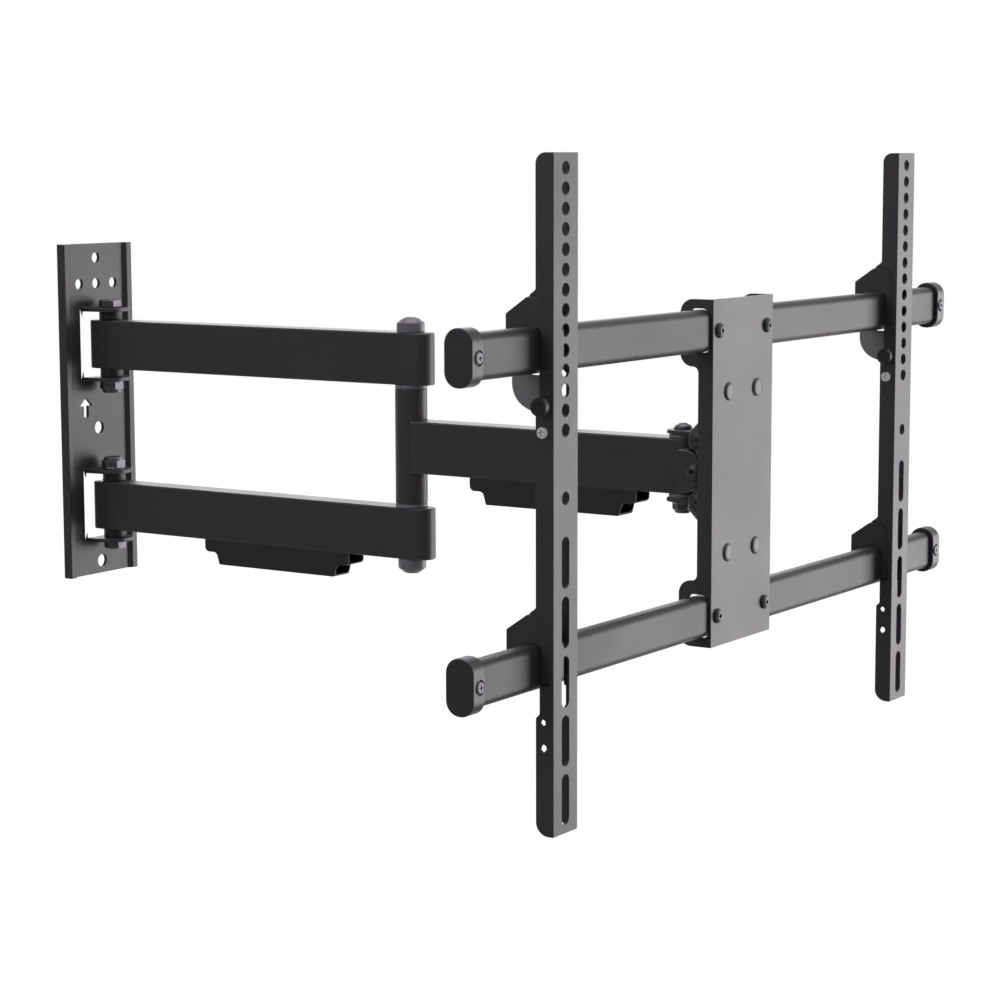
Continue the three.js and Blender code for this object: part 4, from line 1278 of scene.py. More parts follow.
# ---------------------------------------------------------------- arms
@dataclass
class CableCover:
    """The plastic trough that clips under an arm: deep in its middle, shallow at its open ends."""

    length: float = 145.4
    deep_length: float = 118.8
    half_width: float = 10.2
    wall: float = 1.6
    shelf_depth: float = 9.6
    depth: float = 19.4
    corner: float = 4.0
    toe: float = 1.6  # round at the ends of the floor
    lean: float = 1.4  # half of how far each end of the deep part slopes

    def solid(self, start: float, under: float) -> Solid:
        """Makes the trough.

        Args:
            start: The Y of its end nearest the wall.
            under: The height of the arm's underside, where its rim lies.

        Returns:
            The finished trough.
        """
        step = (self.length - self.deep_length) / 2
        far, lip = -self.length, 0.3
        shelf, corner = -self.shelf_depth, self.corner
        near_step, far_step = -step, far + step
        outline = rounded(
            [
                (0, lip), (0, shelf, corner), (near_step + self.lean, shelf, corner),
                (near_step - self.lean, -self.depth, self.toe),
                (far_step + self.lean, -self.depth, self.toe),
                (far_step - self.lean, shelf, corner), (far, shelf, corner), (far, lip),
            ],
            8,
        )
        inside = self.half_width - self.wall
        floor = self.wall - self.depth
        inset = step + self.wall + self.toe
        hollows = [
            rectangle(far - PAST, PAST, shelf + self.wall, PAST),
            rectangle(far + inset, -inset, floor, PAST),
        ]
        body = Solid.drawn(Axis.X, outline, -self.half_width, self.half_width)
        body = body.cut(*[Solid.drawn(Axis.X, hollow, -inside, inside) for hollow in hollows])
        mouth = rectangle(-inside, inside, floor, shelf - self.wall / 2, 2.2, 5)
        reach = 6.0
        mouths = [Solid.drawn(Axis.Y, mouth, y - reach, y + reach) for y in (near_step, far_step)]
        return body.softened(MOULDED_PLASTIC, 0.6, 3).cut(*mouths).placed(0, start, under)


@dataclass
class ArmLinkage:
    """The two parallel arms, the forearm on its hub, the elbow between them, and their covers."""

    width: float = 21.2
    height: float = 40.0
    wall_round: float = 5.0  # plan corners of an arm's end at the wall
    free_round: float = 9.5  # plan corners of its other end
    edge: float = 1.3
    bolt_bore: float = 5.3
    pin_radius: float = 6.0
    pin_edge: float = 0.8
    hub_radius: float = 12.4
    washer: float = 2.6
    cap_radius: float = 10.8
    cap_base: float = 7.4
    cap_height: float = 11.2
    cap_bore: tuple[float, float] = (6.3, 4.8)  # radius and depth of the hollow under a cap
    swivel_bore: float = 4.3
    forearm: Room = field(default_factory=lambda: Room.of("forearm"))
    pin: Room = field(default_factory=lambda: Room.of("elbow_pin"))

    def tube(
        self, near: float, far: float, level: float, bores: Sequence[tuple[float, float]]
    ) -> Solid:
        """Makes one welded box-section arm, round at its ends in plan, with its pivots bored.

        Args:
            near: The Y of the end nearest the wall.
            far: The Y of the other end.
            level: The height of its centre line.
            bores: The Y and the radius of each bore.

        Returns:
            The finished arm.
        """
        half, wall, free = self.width / 2, self.wall_round, self.free_round
        ends = [(-half, far, free), (half, far, free), (half, near, wall), (-half, near, wall)]
        low, high = level - self.height / 2, level + self.height / 2
        holes = [
            Solid.drawn(Axis.Z, circle(0, y, radius), low - PAST, high + PAST)
            for y, radius in bores
        ]
        body = Solid.drawn(Axis.Z, rounded(ends, 12), low, high)
        return body.softened(POWDER_COAT, self.edge, 4).cut(*holes)

    def cap(self) -> Solid:
        """Makes the cap over one end of the elbow pin: a low cone with a round well in its top.

        Returns:
            The finished cap, its open end at z = 0.
        """
        base, top, r = self.cap_base, self.cap_height, self.cap_radius
        foot = [(0, 0), (r - 0.3, 0), (r, 0.4)]
        cone = [(r, base - 0.6), (r - 0.6, base + 0.3), (6.3, top - 0.5), (5.4, top)]
        well = [(4.7, top), (4.3, top - 0.4), (4.0, top - 1.5), (0, top - 1.7)]
        bore, depth = self.cap_bore
        cap = Solid.turned([*foot, *cone, *well], 72).cut(Solid.rod(bore, -PAST, depth))
        return cap.softened(MOULDED_NYLON, 0.15, 2, 40)

    def build_arms(self, fasteners: FastenerSet) -> None:
        """Makes and settles the parallel arms and what turns with them.

        Args:
            fasteners: What sets the fasteners.
        """
        body = "parallel_arms"
        elbow = self.pin.mid.y
        pin_bore = self.pin_radius + PLAY
        bores = [(Room.of("wall_bolt_upper").mid.y, self.bolt_bore), (elbow, pin_bore)]
        for level in Level:
            name = f"{level.word}_arm"
            room = Room.of(name)
            arm = self.tube(room.high.y, room.low.y, room.mid.z, bores)
            settle(f"{name}_tube", body, [name], [arm])
        cover = Room.of("lower_arm_cable_cover")
        trough = CableCover().solid(cover.high.y, cover.high.z)
        settle("lower_arm_trough", body, ["lower_arm_cable_cover"], [trough])

        low, high = self.pin.low.z, self.pin.high.z
        r, edge = self.pin_radius, self.pin_edge
        ends = [(r - edge, low), (r, low + edge), (r, high - edge), (r - edge, high)]
        pin = Solid.turned([(0, low), *ends, (0, high)]).softened(BLACK_ZINC, 0.2)
        settle("elbow_pivot_pin", body, ["elbow_pin"], [pin.placed(0, elbow, 0)])

        names = ["elbow_cap_top", "elbow_cap_bottom"]
        above = Spot.flat(names[0], elbow)
        below = Spot(Vector((0, elbow, Room.of(names[1]).high.z)), Facing.DOWN)
        caps = fasteners.at(self.cap(), [above, below])
        settle("elbow_cover_caps", body, names, caps)
        names = ["elbow_washer_top", "elbow_washer_bottom"]
        washer = ring(self.hub_radius, pin_bore, self.washer, MOULDED_NYLON, 0.4)
        washers = fasteners.at(washer, [Spot.flat(name, elbow) for name in names])
        settle("elbow_wear_washers", body, names, washers)

    def build_forearm(self) -> None:
        """Makes and settles the forearm, its hub and its cable cover."""
        body = "forearm_body"
        elbow = self.pin.mid.y
        room = self.forearm
        bores = [(Room.of("swivel_bolt").mid.y, self.swivel_bore)]
        arm = self.tube(elbow, room.low.y, room.mid.z, bores)
        rim = circle(0, elbow, self.hub_radius, 72)
        hub = Solid.drawn(Axis.Z, rim, room.low.z, room.high.z).softened(POWDER_COAT, 0.6, 2)
        hole = circle(0, elbow, self.pin_radius + PLAY)
        bore = Solid.drawn(Axis.Z, hole, room.low.z - PAST, room.high.z + PAST)
        forearm = hub.welded(arm).cut(bore)
        settle("forearm_tube_and_hub", body, ["forearm"], [forearm])
        cover = Room.of("forearm_cable_cover")
        trough = CableCover().solid(cover.high.y, cover.high.z)
        settle("forearm_trough", body, ["forearm_cable_cover"], [trough])


# ---------------------------------------------------------------- swivel and tilt head
@dataclass
class SwivelHead:
    """The yoke on the forearm's end, with the swivel bolt down it and the tilt bolt across it."""

    sheet: float = 2.8
    ear_radius: float = 11.5
    web_reach: float = 14.6
    half_width: float = 33.7
    half_height: float = 15.0
    nose_centre: float = 29.8  # behind the centre plate's face
    face: float = 48.1  # swivel axis to the centre plate's face
    tilt_depth: float = 20.5
    tilt_bore: float = 3.3
    ear_inner: float = 23.1
    bore: float = 4.3
    inner_corner: float = 3.0  # where the web widens from the ears to the cheeks
    swivel_tail: float = 7.9  # how far the swivel bolt runs on into its nut
    tilt_tail: float = 5.8
    washer: tuple[float, float] = (10.0, 2.8)  # radius and thickness

    def yoke(self) -> Solid:
        """Makes the folded yoke round the swivel axis at the origin.

        Returns:
            The yoke, unfinished.
        """
        near, far = -self.web_reach, -self.web_reach - self.sheet
        outer = self.ear_inner + self.sheet
        r, h, w = self.ear_radius, self.half_height, self.half_width
        plan = rounded([(-r, far), (r, far), (r, r, r * 0.98), (-r, r, r * 0.98)], 14)
        ear = Solid.drawn(Axis.Z, plan, self.ear_inner, outer)
        corner = self.inner_corner
        web = rounded(
            [
                (-r, -outer), (r, -outer), (r, -h, corner), (w, -h), (w, h), (r, h, corner),
                (r, outer), (-r, outer), (-r, h, corner), (-w, h), (-w, -h), (-r, -h, corner),
            ],
            6,
        )
        tip = -self.face + self.nose_centre - h
        cheek = rounded([(near, -h), (near, h), (tip, h, h * 0.98), (tip, -h, h * 0.98)], 16)
        body = Solid.drawn(Axis.Y, web, far, near).welded(
            ear,
            ear.upended(),
            Solid.drawn(Axis.X, cheek, w - self.sheet, w),
            Solid.drawn(Axis.X, cheek, -w, -w + self.sheet),
        )
        across = circle(-self.face + self.tilt_depth, 0, self.tilt_bore)
        return body.cut(
            Solid.drawn(Axis.X, across, -w - PAST, w + PAST),
            Solid.drawn(Axis.Z, circle(0, 0, self.bore), -outer - PAST, outer + PAST),
        )

    def build(self, fasteners: FastenerSet) -> None:
        """Makes and settles the yoke and its fasteners.

        Args:
            fasteners: What sets the fasteners.
        """
        body = "swivel_head"
        y = Room.of("swivel_bolt").mid.y
        level = Room.of("forearm").mid.z
        yoke = self.yoke().softened(POWDER_COAT, 0.4).placed(0, y, level)
        settle("swivel_head_yoke", body, ["swivel_yoke"], [yoke])

        seat = self.ear_inner + self.sheet + GAP
        bolt = button_screw(6.6, 4.2, 4, 2 * seat + self.swivel_tail, 5, BLACK_ZINC)
        nut = locking_nut(13, 8.6, 4)
        bolt, nut = bolt.placed(0, y, level + seat), nut.placed(0, y, level - seat, Facing.DOWN)
        settle("swivel_head_bolt", body, ["swivel_bolt"], [bolt])
        settle("swivel_head_nut", body, ["swivel_nut"], [nut])
        names = ["swivel_washer_top", "swivel_washer_bottom"]
        radius, thickness = self.washer
        washer = ring(radius, self.bore, thickness, MOULDED_NYLON, 0.4)
        washers = fasteners.at(washer, [Spot.flat(name, y) for name in names])
        settle("swivel_wear_washers", body, names, washers)

        tilt = Room.of("tilt_bolt").mid
        side = self.half_width + GAP
        bolt = button_screw(6, 3, 3, 2 * side + self.tilt_tail, 4, BLACK_OXIDE)
        nut = locking_nut(10, 6.4, 3)
        bolt, nut = (
            bolt.placed(-side, tilt.y, tilt.z, Facing.LEFT),
            nut.placed(side, tilt.y, tilt.z, Facing.RIGHT),
        )
        settle("tilt_cross_bolt", body, ["tilt_bolt"], [bolt])
        settle("tilt_cross_nut", body, ["tilt_nut"], [nut])


# ---------------------------------------------------------------- tilting frame
@dataclass
class TiltingFrame:
    """The tilt bracket, the channel-shaped centre plate, and the two rails with caps and screws."""

    rail: RailSection = RailSection()
    centre_sheet: float = 2.0
    bend: float = 0.9
    flange: float = 11.4
    lobe: float = 25.8
    lobe_drop: float = 25.0  # rail's centre to the inner edge of a lobe
    lobe_corner: float = 9.5
    lobe_fillet: float = 4.3
    rail_room: float = 0.8  # behind and above a rail in the lobe's opening
    tilt_sheet: float = 2.5
    tilt_half_width: float = 30.6
    web_half_height: float = 66.0
    stop_depth: float = 19.2
    stop_height: float = 22.0
    stop_radius: float = 7.2
    boss_radius: float = 7.0
    tilt_depth: float = 20.5
    tilt_bore: float = 3.3
    cheek_root: float = 52.0
    rail_screw_x: float = 35.0
    rivet_x: float = 20.7
    rivet_z: float = 56.8
    cap_height: float = 36.2
    cap_depth: float = 20.5
    cap_length: float = 12.9
    cap_floor: float = 3.0
    cap_rim: float = 0.9  # round at the outer end
    cap_lip: float = 0.8  # round at the end where the rail goes in
    cap_screw_inset: float = 7.4
    cap_recess: tuple[float, float] = (4.9, 1.15)  # radius and depth of the sunk ring
    cap_pilot: tuple[float, float] = (2.3, 3.0)  # radius and depth of the hole in it
    plate: Room = field(default_factory=lambda: Room.of("centre_plate"))

    @property
    def rail_rise(self) -> float:
        """How far each rail's centre is above or below the middle of the plate."""
        return Room.of("rail_upper").mid.z - self.plate.mid.z

    @property
    def corners(self) -> list[tuple[Level, Side]]:
        """The four corners of the frame, in the order of the model's node names."""
        return [(level, side) for level in Level for side in Side]

    def lobe_corners(self, level: Level) -> list[Corner]:
        """Gives the three corners of a flange's lobe above or below the plate's middle.

        Args:
            level: Which of the two lobes.

        Returns:
            The corners in (y, z), with their radii.
        """
        top = level.value * (self.plate.high.z - self.plate.low.z) / 2
        inner = level.value * (self.rail_rise - self.lobe_drop)
        return [
            (self.lobe, top, self.lobe_corner),
            (self.lobe, inner, self.lobe_corner),
            (self.flange, inner, self.lobe_fillet),
        ]

    def centre_plate(self) -> Solid:
        """Makes the centre plate round its middle; Y is behind its face.

        Returns:
            The plate, unfinished.
        """
        half = (self.plate.high.x - self.plate.low.x) / 2
        top = (self.plate.high.z - self.plate.low.z) / 2
        t = self.centre_sheet
        section = channel_section(half, self.lobe, t, self.bend)
        lobes = [*self.lobe_corners(Level.UPPER), *reversed(self.lobe_corners(Level.LOWER))]
        outline = rounded([(-PAST, top), *lobes, (-PAST, -top)], 12)
        body = Solid.drawn(Axis.Z, section, -top, top)
        body = body.common(Solid.drawn(Axis.X, outline, -half - PAST, half + PAST))
        cuts = []
        back = t + GAP + self.rail.depth + self.rail_room
        for level in Level:
            middle = level.value * self.rail_rise
            low = middle - self.rail.height / 2 - PLAY
            high = middle + self.rail.height / 2 + self.rail_room
            sides = [(t, low, 4.5), (back, low, 4.5), (back, high, 3.5), (t, high, 6.4)]
            inside, outside = half - t - PAST, half + 2 * PAST
            for x0, x1 in ((-outside, -inside), (inside, outside)):
                cuts.append(Solid.drawn(Axis.X, rounded(sides, 8), x0, x1))
        return body.cut(*cuts)

    def tilt_bracket(self) -> Solid:
        """Makes the U-shaped tilt bracket behind the plate; Y is behind the plate's face.

        Returns:
            The bracket, unfinished.
        """
        front = self.centre_sheet + GAP
        w, t, tall = self.tilt_half_width, self.tilt_sheet, self.web_half_height
        web = Solid.drawn(Axis.Y, rectangle(-w, w, -tall, tall, 4, 8), front, front + t)
        rim, level = self.stop_depth + self.stop_radius, self.stop_height
        upper = [
            (front, self.cheek_root), (rim, level + 5, 6), (rim, level - 4, 3),
            (self.tilt_depth, level - 8, 2),
        ]
        lower = [(y, -z, *radius) for y, z, *radius in reversed(upper)]
        outline = rounded([*upper, *lower], 10)
        boss = circle(self.tilt_depth, 0, self.boss_radius, 64)
        cheeks = [
            Solid.drawn(Axis.X, outline, x, x + t).welded(Solid.drawn(Axis.X, boss, x, x + t))
            for x in (-w, w - t)
        ]
        bore = circle(self.tilt_depth, 0, self.tilt_bore)
        return web.welded(*cheeks).cut(Solid.drawn(Axis.X, bore, -w - PAST, w + PAST))

    def end_cap(self) -> Solid:
        """Makes one rail cap: x = 0 is its outer end and -Y its front.

        Returns:
            The finished cap.
        """
        d, h, length = self.cap_depth / 2, self.cap_height / 2, self.cap_length
        rim, lip = self.cap_rim, self.cap_lip
        quarter = math.pi / 2
        steps = [
            (lip * (1 - math.sin(a)), -length + lip * (1 - math.cos(a)))
            for a in (quarter * i / 4 for i in range(5))
        ]
        steps += [
            (rim * (1 - math.cos(a)), rim * (math.sin(a) - 1))
            for a in (quarter * i / 8 for i in range(9))
        ]
        layers = []
        for inset, x in steps:
            wide, tall = d - inset, h - inset
            outline = rectangle(-wide, wide, -tall, tall, wide - 0.5, 14)
            layers.append([(x, y, z) for y, z in outline])
        rail = self.rail
        wide, tall = rail.depth / 2 + PLAY, rail.height / 2 + PLAY
        socket = rectangle(-wide, wide, -tall, tall, rail.corner + PLAY, 8)
        recess, sunk = self.cap_recess
        pilot, deep = self.cap_pilot
        middle = -self.cap_screw_inset
        cap = Solid.stacked(layers).cut(
            Solid.drawn(Axis.X, socket, -length - PAST, -self.cap_floor),
            Solid.drawn(Axis.Y, circle(middle, 0, recess), -d - PAST, -d + sunk),
            Solid.drawn(Axis.Y, circle(middle, 0, pilot, 24), -d - PAST, -d + deep),
        )
        return cap.softened(MOULDED_ABS, 0.22, 2, 48)

    def build_plates(self) -> None:
        """Makes and settles the centre plate and the tilt bracket."""
        at = Vector((0, self.plate.low.y, self.plate.mid.z))
        plate = self.centre_plate().softened(POWDER_COAT, 0.35).placed(*at)
        settle("centre_channel_plate", "tilting_frame", ["centre_plate"], [plate])
        # The tilt bracket's lighter grey coat is painted light, standing in for the light on its
        # cheeks.
        bracket = self.tilt_bracket().softened(PAINTED_LIGHT_COAT, 0.4).placed(*at)
        settle("tilt_u_bracket", "tilting_frame", ["tilt_bracket"], [bracket])

    def build_rails(self, sweep: RailSweep, fasteners: FastenerSet) -> None:
        """Makes and settles the rails and their end caps.

        Args:
            sweep: What sweeps the rails.
            fasteners: What sets the caps.
        """
        body = "tilting_frame"
        for level in Level:
            node = f"rail_{level.word}"
            room = Room.of(node)
            # The rails' darker coat is painted shade, and its lighter edges a painted highlight.
            rail = sweep.rail(room.high.x, self.rail, SHADED_TUBE_COAT).softened(SHADED_TUBE_COAT, 0.3)
            rail = rail.placed(0, room.mid.y, room.mid.z)
            settle(f"cross_{node}", body, [node], [rail])
        names = [f"end_cap_{level.word}_{side.word}" for level, side in self.corners]
        facings = {Side.LEFT: Facing.ABOUT, Side.RIGHT: Facing.UP}
        spots = []
        for name, (_, side) in zip(names, self.corners):
            room = Room.of(name)
            spots.append(Spot(Vector((room.end(side), room.mid.y, room.mid.z)), facings[side]))
        caps = fasteners.at(self.end_cap(), spots)
        settle("rail_end_caps", body, names, caps)

    def on_face(self, x: float, z: float) -> list[Spot]:
        """Gives the places of four fasteners on the plate's face, x and z from its middle.

        Args:
            x: How far they stand to each side.
            z: How far they stand above and below.

        Returns:
            The places, in the order of the corners.
        """
        y, middle = self.plate.low.y - GAP, self.plate.mid.z
        return [
            Spot(Vector((side.value * x, y, middle + level.value * z)), Facing.FRONT)
            for level, side in self.corners
        ]

    def build_fasteners(self, fasteners: FastenerSet) -> None:
        """Makes and settles the screws and rivets of the frame.

        Args:
            fasteners: What sets the fasteners.
        """
        grip = self.centre_sheet + self.tilt_sheet + 3 * GAP
        rivet = Solid.turned(
            [
                (0, -grip - 2), (3.6, -grip - 2), (4.6, -grip - 1.2), (4.6, -grip), (3.2, -grip),
                (3.2, 0), (6.4, 0), (6.4, 0.3), (6.1, 0.65), (5.5, 0.95), (4.6, 1.2), (3.4, 1.3),
                (0, 1.3),
            ]
        ).softened(BLACK_OXIDE, 0.12)
        stops, sunk = [], []
        facings = {Side.LEFT: Facing.LEFT, Side.RIGHT: Facing.RIGHT}
        y, reach = self.plate.low.y + self.stop_depth, self.tilt_half_width + GAP
        for level, side in self.corners:
            z = self.plate.mid.z + level.value * self.stop_height
            stops.append(Spot(Vector((side.value * reach, y, z)), facings[side]))
            cap = Room.of(f"end_cap_{level.word}_{side.word}")
            x = cap.end(side) - side.value * self.cap_screw_inset
            seat = cap.low.y + self.cap_recess[1] - 2 * GAP
            sunk.append(Spot(Vector((x, seat, cap.mid.z)), Facing.FRONT))
        screws = (
            (
                "rail_fixing_screws", "rail_screw",
                button_screw(5.2, 2.6, 3, 13, 3, BLACK_OXIDE),
                self.on_face(self.rail_screw_x, self.rail_rise),
            ),
            ("centre_plate_rivets", "rivet", rivet, self.on_face(self.rivet_x, self.rivet_z)),
            (
                "tilt_stop_screws", "tilt_stop_screw",
                button_screw(6.4, 1.6, 2.5, 2 * self.tilt_sheet, 3, BLACK_OXIDE), stops,
            ),
            ("end_cap_screws", "cap_screw", cross_screw(3.9, 1.8, 2, 9, GREY_PLATING), sunk),
        )
        for name, node, screw, spots in screws:
            names = [f"{node}_{level.word}_{side.word}" for level, side in self.corners]
            settle(name, "tilting_frame", names, fasteners.at(screw, spots))


# ---------------------------------------------------------------- television brackets
@dataclass
class TvBracket:
    """One slotted channel with its hook plates, latch, knob and safety screw."""

    side: Side
    rail: RailSection = RailSection()
    width: float = 29.6
    depth: float = 13.0
    sheet: float = 2.0
    bend: float = 0.9
    to_rail: float = 10.5
    notches: tuple[float, float] = (10.2, 8.0)  # the two flanges' depth where a rail passes
    relief: float = 3.4
    relief_span: tuple[float, float] = (34.0, -11.2)  # its top and bottom, from a rail's centre
    notch_foot: tuple[float, float] = (-29.5, -32.0)  # where the notch runs out to full depth
    hole_radius: float = 4.25
    hole_pitch: float = 12.5
    hole_count: int = 14
    first_hole: float = 9.5  # below the top
    lone_hole: float = 214.8
    first_slot: float = 239.2
    slot_pitch: float = 38.1
    slot_length: float = 32.9
    slot_count: int = 5
    punch_reach: float = 8.0
    hook_sheet: float = 2.5
    hook_front: float = 3.2
    hook_span: tuple[float, float] = (46.0, -15.0)  # its top and foot, from a rail's centre
    hook_reach: float = 36.5
    hook_shoulder: float = 22.3
    hook_slope: float = 0.69
    hook_drop: float = 4.0
    seam_depth: float = 1.9
    pivot_depth: float = 7.6
    pivot_drop: float = 34.6
    pivot_bores: tuple[float, float] = (2.5, 1.9)  # beside the upper and the lower rail
    latch_sheet: float = 2.5
    latch_step: float = 18.5
    latch_far: float = 32.0
    latch_bore: float = 2.35
    safety_depth: float = 7.1
    safety_drop: float = 50.8
    safety_bore: float = 2.1
    lock_holes: tuple[tuple[float, float, float], ...] = ((7.65, -134.5, 1.6), (7.65, -151.6, 1.9))

    def __post_init__(self) -> None:
        """Reads where the model has this bracket and the rails."""
        self.room = Room.of(f"tv_bracket_{self.side.word}")
        heights = [Room.of(f"rail_{level.word}").mid.z for level in Level]
        self.level = sum(heights) / 2
        self.rails = [height - self.level for height in heights]
        self.top = self.room.high.z - self.level
        self.bottom = self.room.low.z - self.level

    def flange(self, notch: float) -> list[Point]:
        """Draws a flange from the side, with its reliefs and a notch of this depth below each.

        Args:
            notch: The flange's depth in its notches.

        Returns:
            The outline in (y, z).
        """
        shallow, deep = self.relief, self.depth
        high, low = self.relief_span
        foot, heel = self.notch_foot
        outline: list[Corner] = [(-PAST, self.top), (deep, self.top, 7)]
        for z in self.rails:
            outline += [
                (deep, z + high), (shallow, z + high, 9), (shallow, z + low),
                (notch, z + low), (notch, z + foot, 2), (deep, z + heel, 1.5),
            ]
        outline += [(deep, self.bottom, 9), (-PAST, self.bottom)]
        return rounded(outline, 10)

    def punched(self, punch: Punch) -> list[Solid]:
        """Gives the punches of the face: a row of round holes, a lone one and a row of slots.

        Args:
            punch: What makes the rows.

        Returns:
            The punches, one solid for each row.
        """
        r, reach, top = self.hole_radius, self.punch_reach, self.top
        holes = punch.row(self.hole_count, self.hole_pitch, r, 2 * r, reach)
        lone = punch.row(1, self.hole_pitch, r, 2 * r, reach)
        slots = punch.row(self.slot_count, self.slot_pitch, r, self.slot_length, reach)
        return [
            holes.placed(0, 0, top - self.first_hole),
            lone.placed(0, 0, top - self.lone_hole),
            slots.placed(0, 0, top - self.first_slot - r),
        ]

    def channel(self, punch: Punch) -> Solid:
        """Makes the folded channel; Y is behind its face and Z from the middle of the rails.

        Args:
            punch: What punches the face.

        Returns:
            The finished channel.
        """
        half, t = self.width / 2, self.sheet
        section = channel_section(half, self.depth, t, self.bend)
        left, right = (self.flange(notch) for notch in self.notches)
        sides = Solid.drawn(Axis.X, left, -half - PAST, 0).welded(
            Solid.drawn(Axis.X, right, 0, half + PAST)
        )
        body = Solid.drawn(Axis.Z, section, self.bottom, self.top).common(sides)
        locks = [circle(y, z, radius, 24) for y, z, radius in self.lock_holes]
        pins = []
        for z, bore in zip(self.rails, self.pivot_bores):
            pins.append(circle(self.pivot_depth, z - self.pivot_drop, bore, 28))
            pins.append(circle(self.safety_depth, z - self.safety_drop, self.safety_bore, 28))
        cuts = [
            *self.punched(punch),
            *(Solid.drawn(Axis.X, hole, -half - PAST, -half + t + PAST) for hole in locks),
            *(Solid.drawn(Axis.X, hole, -half - PAST, 0) for hole in pins),
        ]
        return body.cut(*cuts).softened(POWDER_COAT, 0.35)

    def seam(self, z: float, near: float, far: float) -> Solid:
        """Makes the cutter of the shallow groove that follows a relief's edge on a hook plate.

        Args:
            z: The height of the rail's centre.
            near: The X of the hook plate's outer face.
            far: The X of the groove's floor.

        Returns:
            The cutter.
        """
        high, low = z + self.relief_span[0] + 0.3, z + self.relief_span[1]
        outer, inner, reach = self.relief - 0.4, self.relief + 1.1, self.hook_reach
        under = high - 1.3
        band = rounded(
            [
                (outer, low), (outer, high, 9.3), (reach, high),
                (reach, under), (inner, under, 8.0), (inner, low),
            ],
            10,
        )
        return Solid.drawn(Axis.X, band, near - PAST, far)

    def hooks(self) -> list[Solid]:
        """Makes the hook plates that lie inside the flanges and hang over the rails.

        Returns:
            The finished hook plates.
        """
        half = self.width / 2 - self.sheet
        corner, front = self.rail.corner, self.hook_front
        back = self.to_rail + self.rail.depth + 2 * PLAY
        over = self.rail.height / 2 + PLAY
        edge = self.depth - 0.4
        slope_end = self.hook_shoulder + (self.hook_reach - edge) * self.hook_slope
        plates = []
        for z in self.rails:
            high, low = (z + end for end in self.hook_span)
            drop = z - self.hook_drop
            for side, notch in zip(Side, self.notches):
                outline = rounded(
                    [
                        (front, high), (edge, high, 2), (edge, z + slope_end, 8),
                        (self.hook_reach, z + self.hook_shoulder, 1.2), (self.hook_reach, drop, 3),
                        (back, drop, 2), (back, z + over, corner + 1.3),
                        (notch, z + over, corner * 0.8), (notch, low, 2), (front, low),
                    ],
                    10,
                )
                near = side.value * (half - 0.02)
                far = side.value * (half - self.hook_sheet)
                plate = Solid.drawn(Axis.X, outline, min(near, far), max(near, far))
                if side is Side.LEFT:
                    plate = plate.cut(self.seam(z, near, near + self.seam_depth))
                plates.append(plate.softened(POWDER_COAT, 0.35))
        return plates

    def latch(self) -> Solid:
        """Makes the latch plate with its pivot at the origin.

        Returns:
            The finished latch plate.
        """
        under = self.pivot_drop - self.rail.height / 2 - PLAY
        step, far = self.latch_step - self.pivot_depth, self.latch_far - self.pivot_depth
        outline = rounded(
            [
                (3, under - 0.5), (-1, 6.5), (-5.2, 3, 4), (-5.2, -4, 4), (0, -5.2, 5), (step, -3),
                (far, 2.5, 17), (far, under, 1), (step, under, 0.2), (step - 0.9, under - 0.5, 0.2),
            ],
            14,
        )
        plate = Solid.drawn(Axis.X, outline, 0, self.latch_sheet)
        bore = circle(0, 0, self.latch_bore, 32)
        hole = Solid.drawn(Axis.X, bore, -PAST, self.latch_sheet + PAST)
        return plate.cut(hole).softened(GREY_PLATING, 0.3)

    def knob(self) -> list[Solid]:
        """Makes the latch's knob along +Z: a plated skirt on a pin, and a moulded disc over it.

        Returns:
            The finished skirt and disc.
        """
        reach = self.sheet + self.latch_sheet + 1.6
        skirt = Solid.turned([(0, -reach), (2.2, -reach), (2.2, 0), (5.5, 0), (5.5, 4.0), (0, 4.0)])
        disc = Solid.turned(
            [
                (0, 3.8), (5.8, 3.8), (5.8, 4.9), (5.65, 5.55), (5.2, 6.1), (4.6, 6.4), (3.8, 6.4),
                (3.5, 6.1), (0, 6.1),
            ]
        )
        return [skirt.softened(GREY_PLATING, 0.2), disc.softened(MOULDED_PLASTIC, 0.12)]

    def build(self, punch: Punch) -> None:
        """Makes and settles every piece of this bracket.

        Args:
            punch: What punches the face.
        """
        side = self.side.word
        body, swing = f"bracket_{side}", f"latch_body_{side}"
        x, face = self.room.mid.x, self.room.low.y
        solids = [self.channel(punch), *self.hooks()]
        solids = [solid.placed(x, face, self.level) for solid in solids]
        settle(f"slotted_bracket_{side}", body, [f"tv_bracket_{side}"], solids)

        rail = self.level + self.rails[0]
        y, z = face + self.pivot_depth, rail - self.pivot_drop
        near = x - self.width / 2
        latch = self.latch().placed(near + self.sheet + PLAY, y, z)
        settle(f"rail_latch_{side}", swing, [f"latch_{side}"], [latch])
        outside = near - GAP
        knob = [solid.placed(outside, y, z, Facing.LEFT) for solid in self.knob()]
        settle(f"latch_pull_knob_{side}", swing, [f"latch_knob_{side}"], knob)
        y, z = face + self.safety_depth, rail - self.safety_drop
        screw = cross_screw(3.8, 2.4, 2, 8, BRIGHT_ZINC).placed(outside, y, z, Facing.LEFT)
        settle(f"safety_lock_screw_{side}", body, [f"safety_screw_{side}"], [screw])


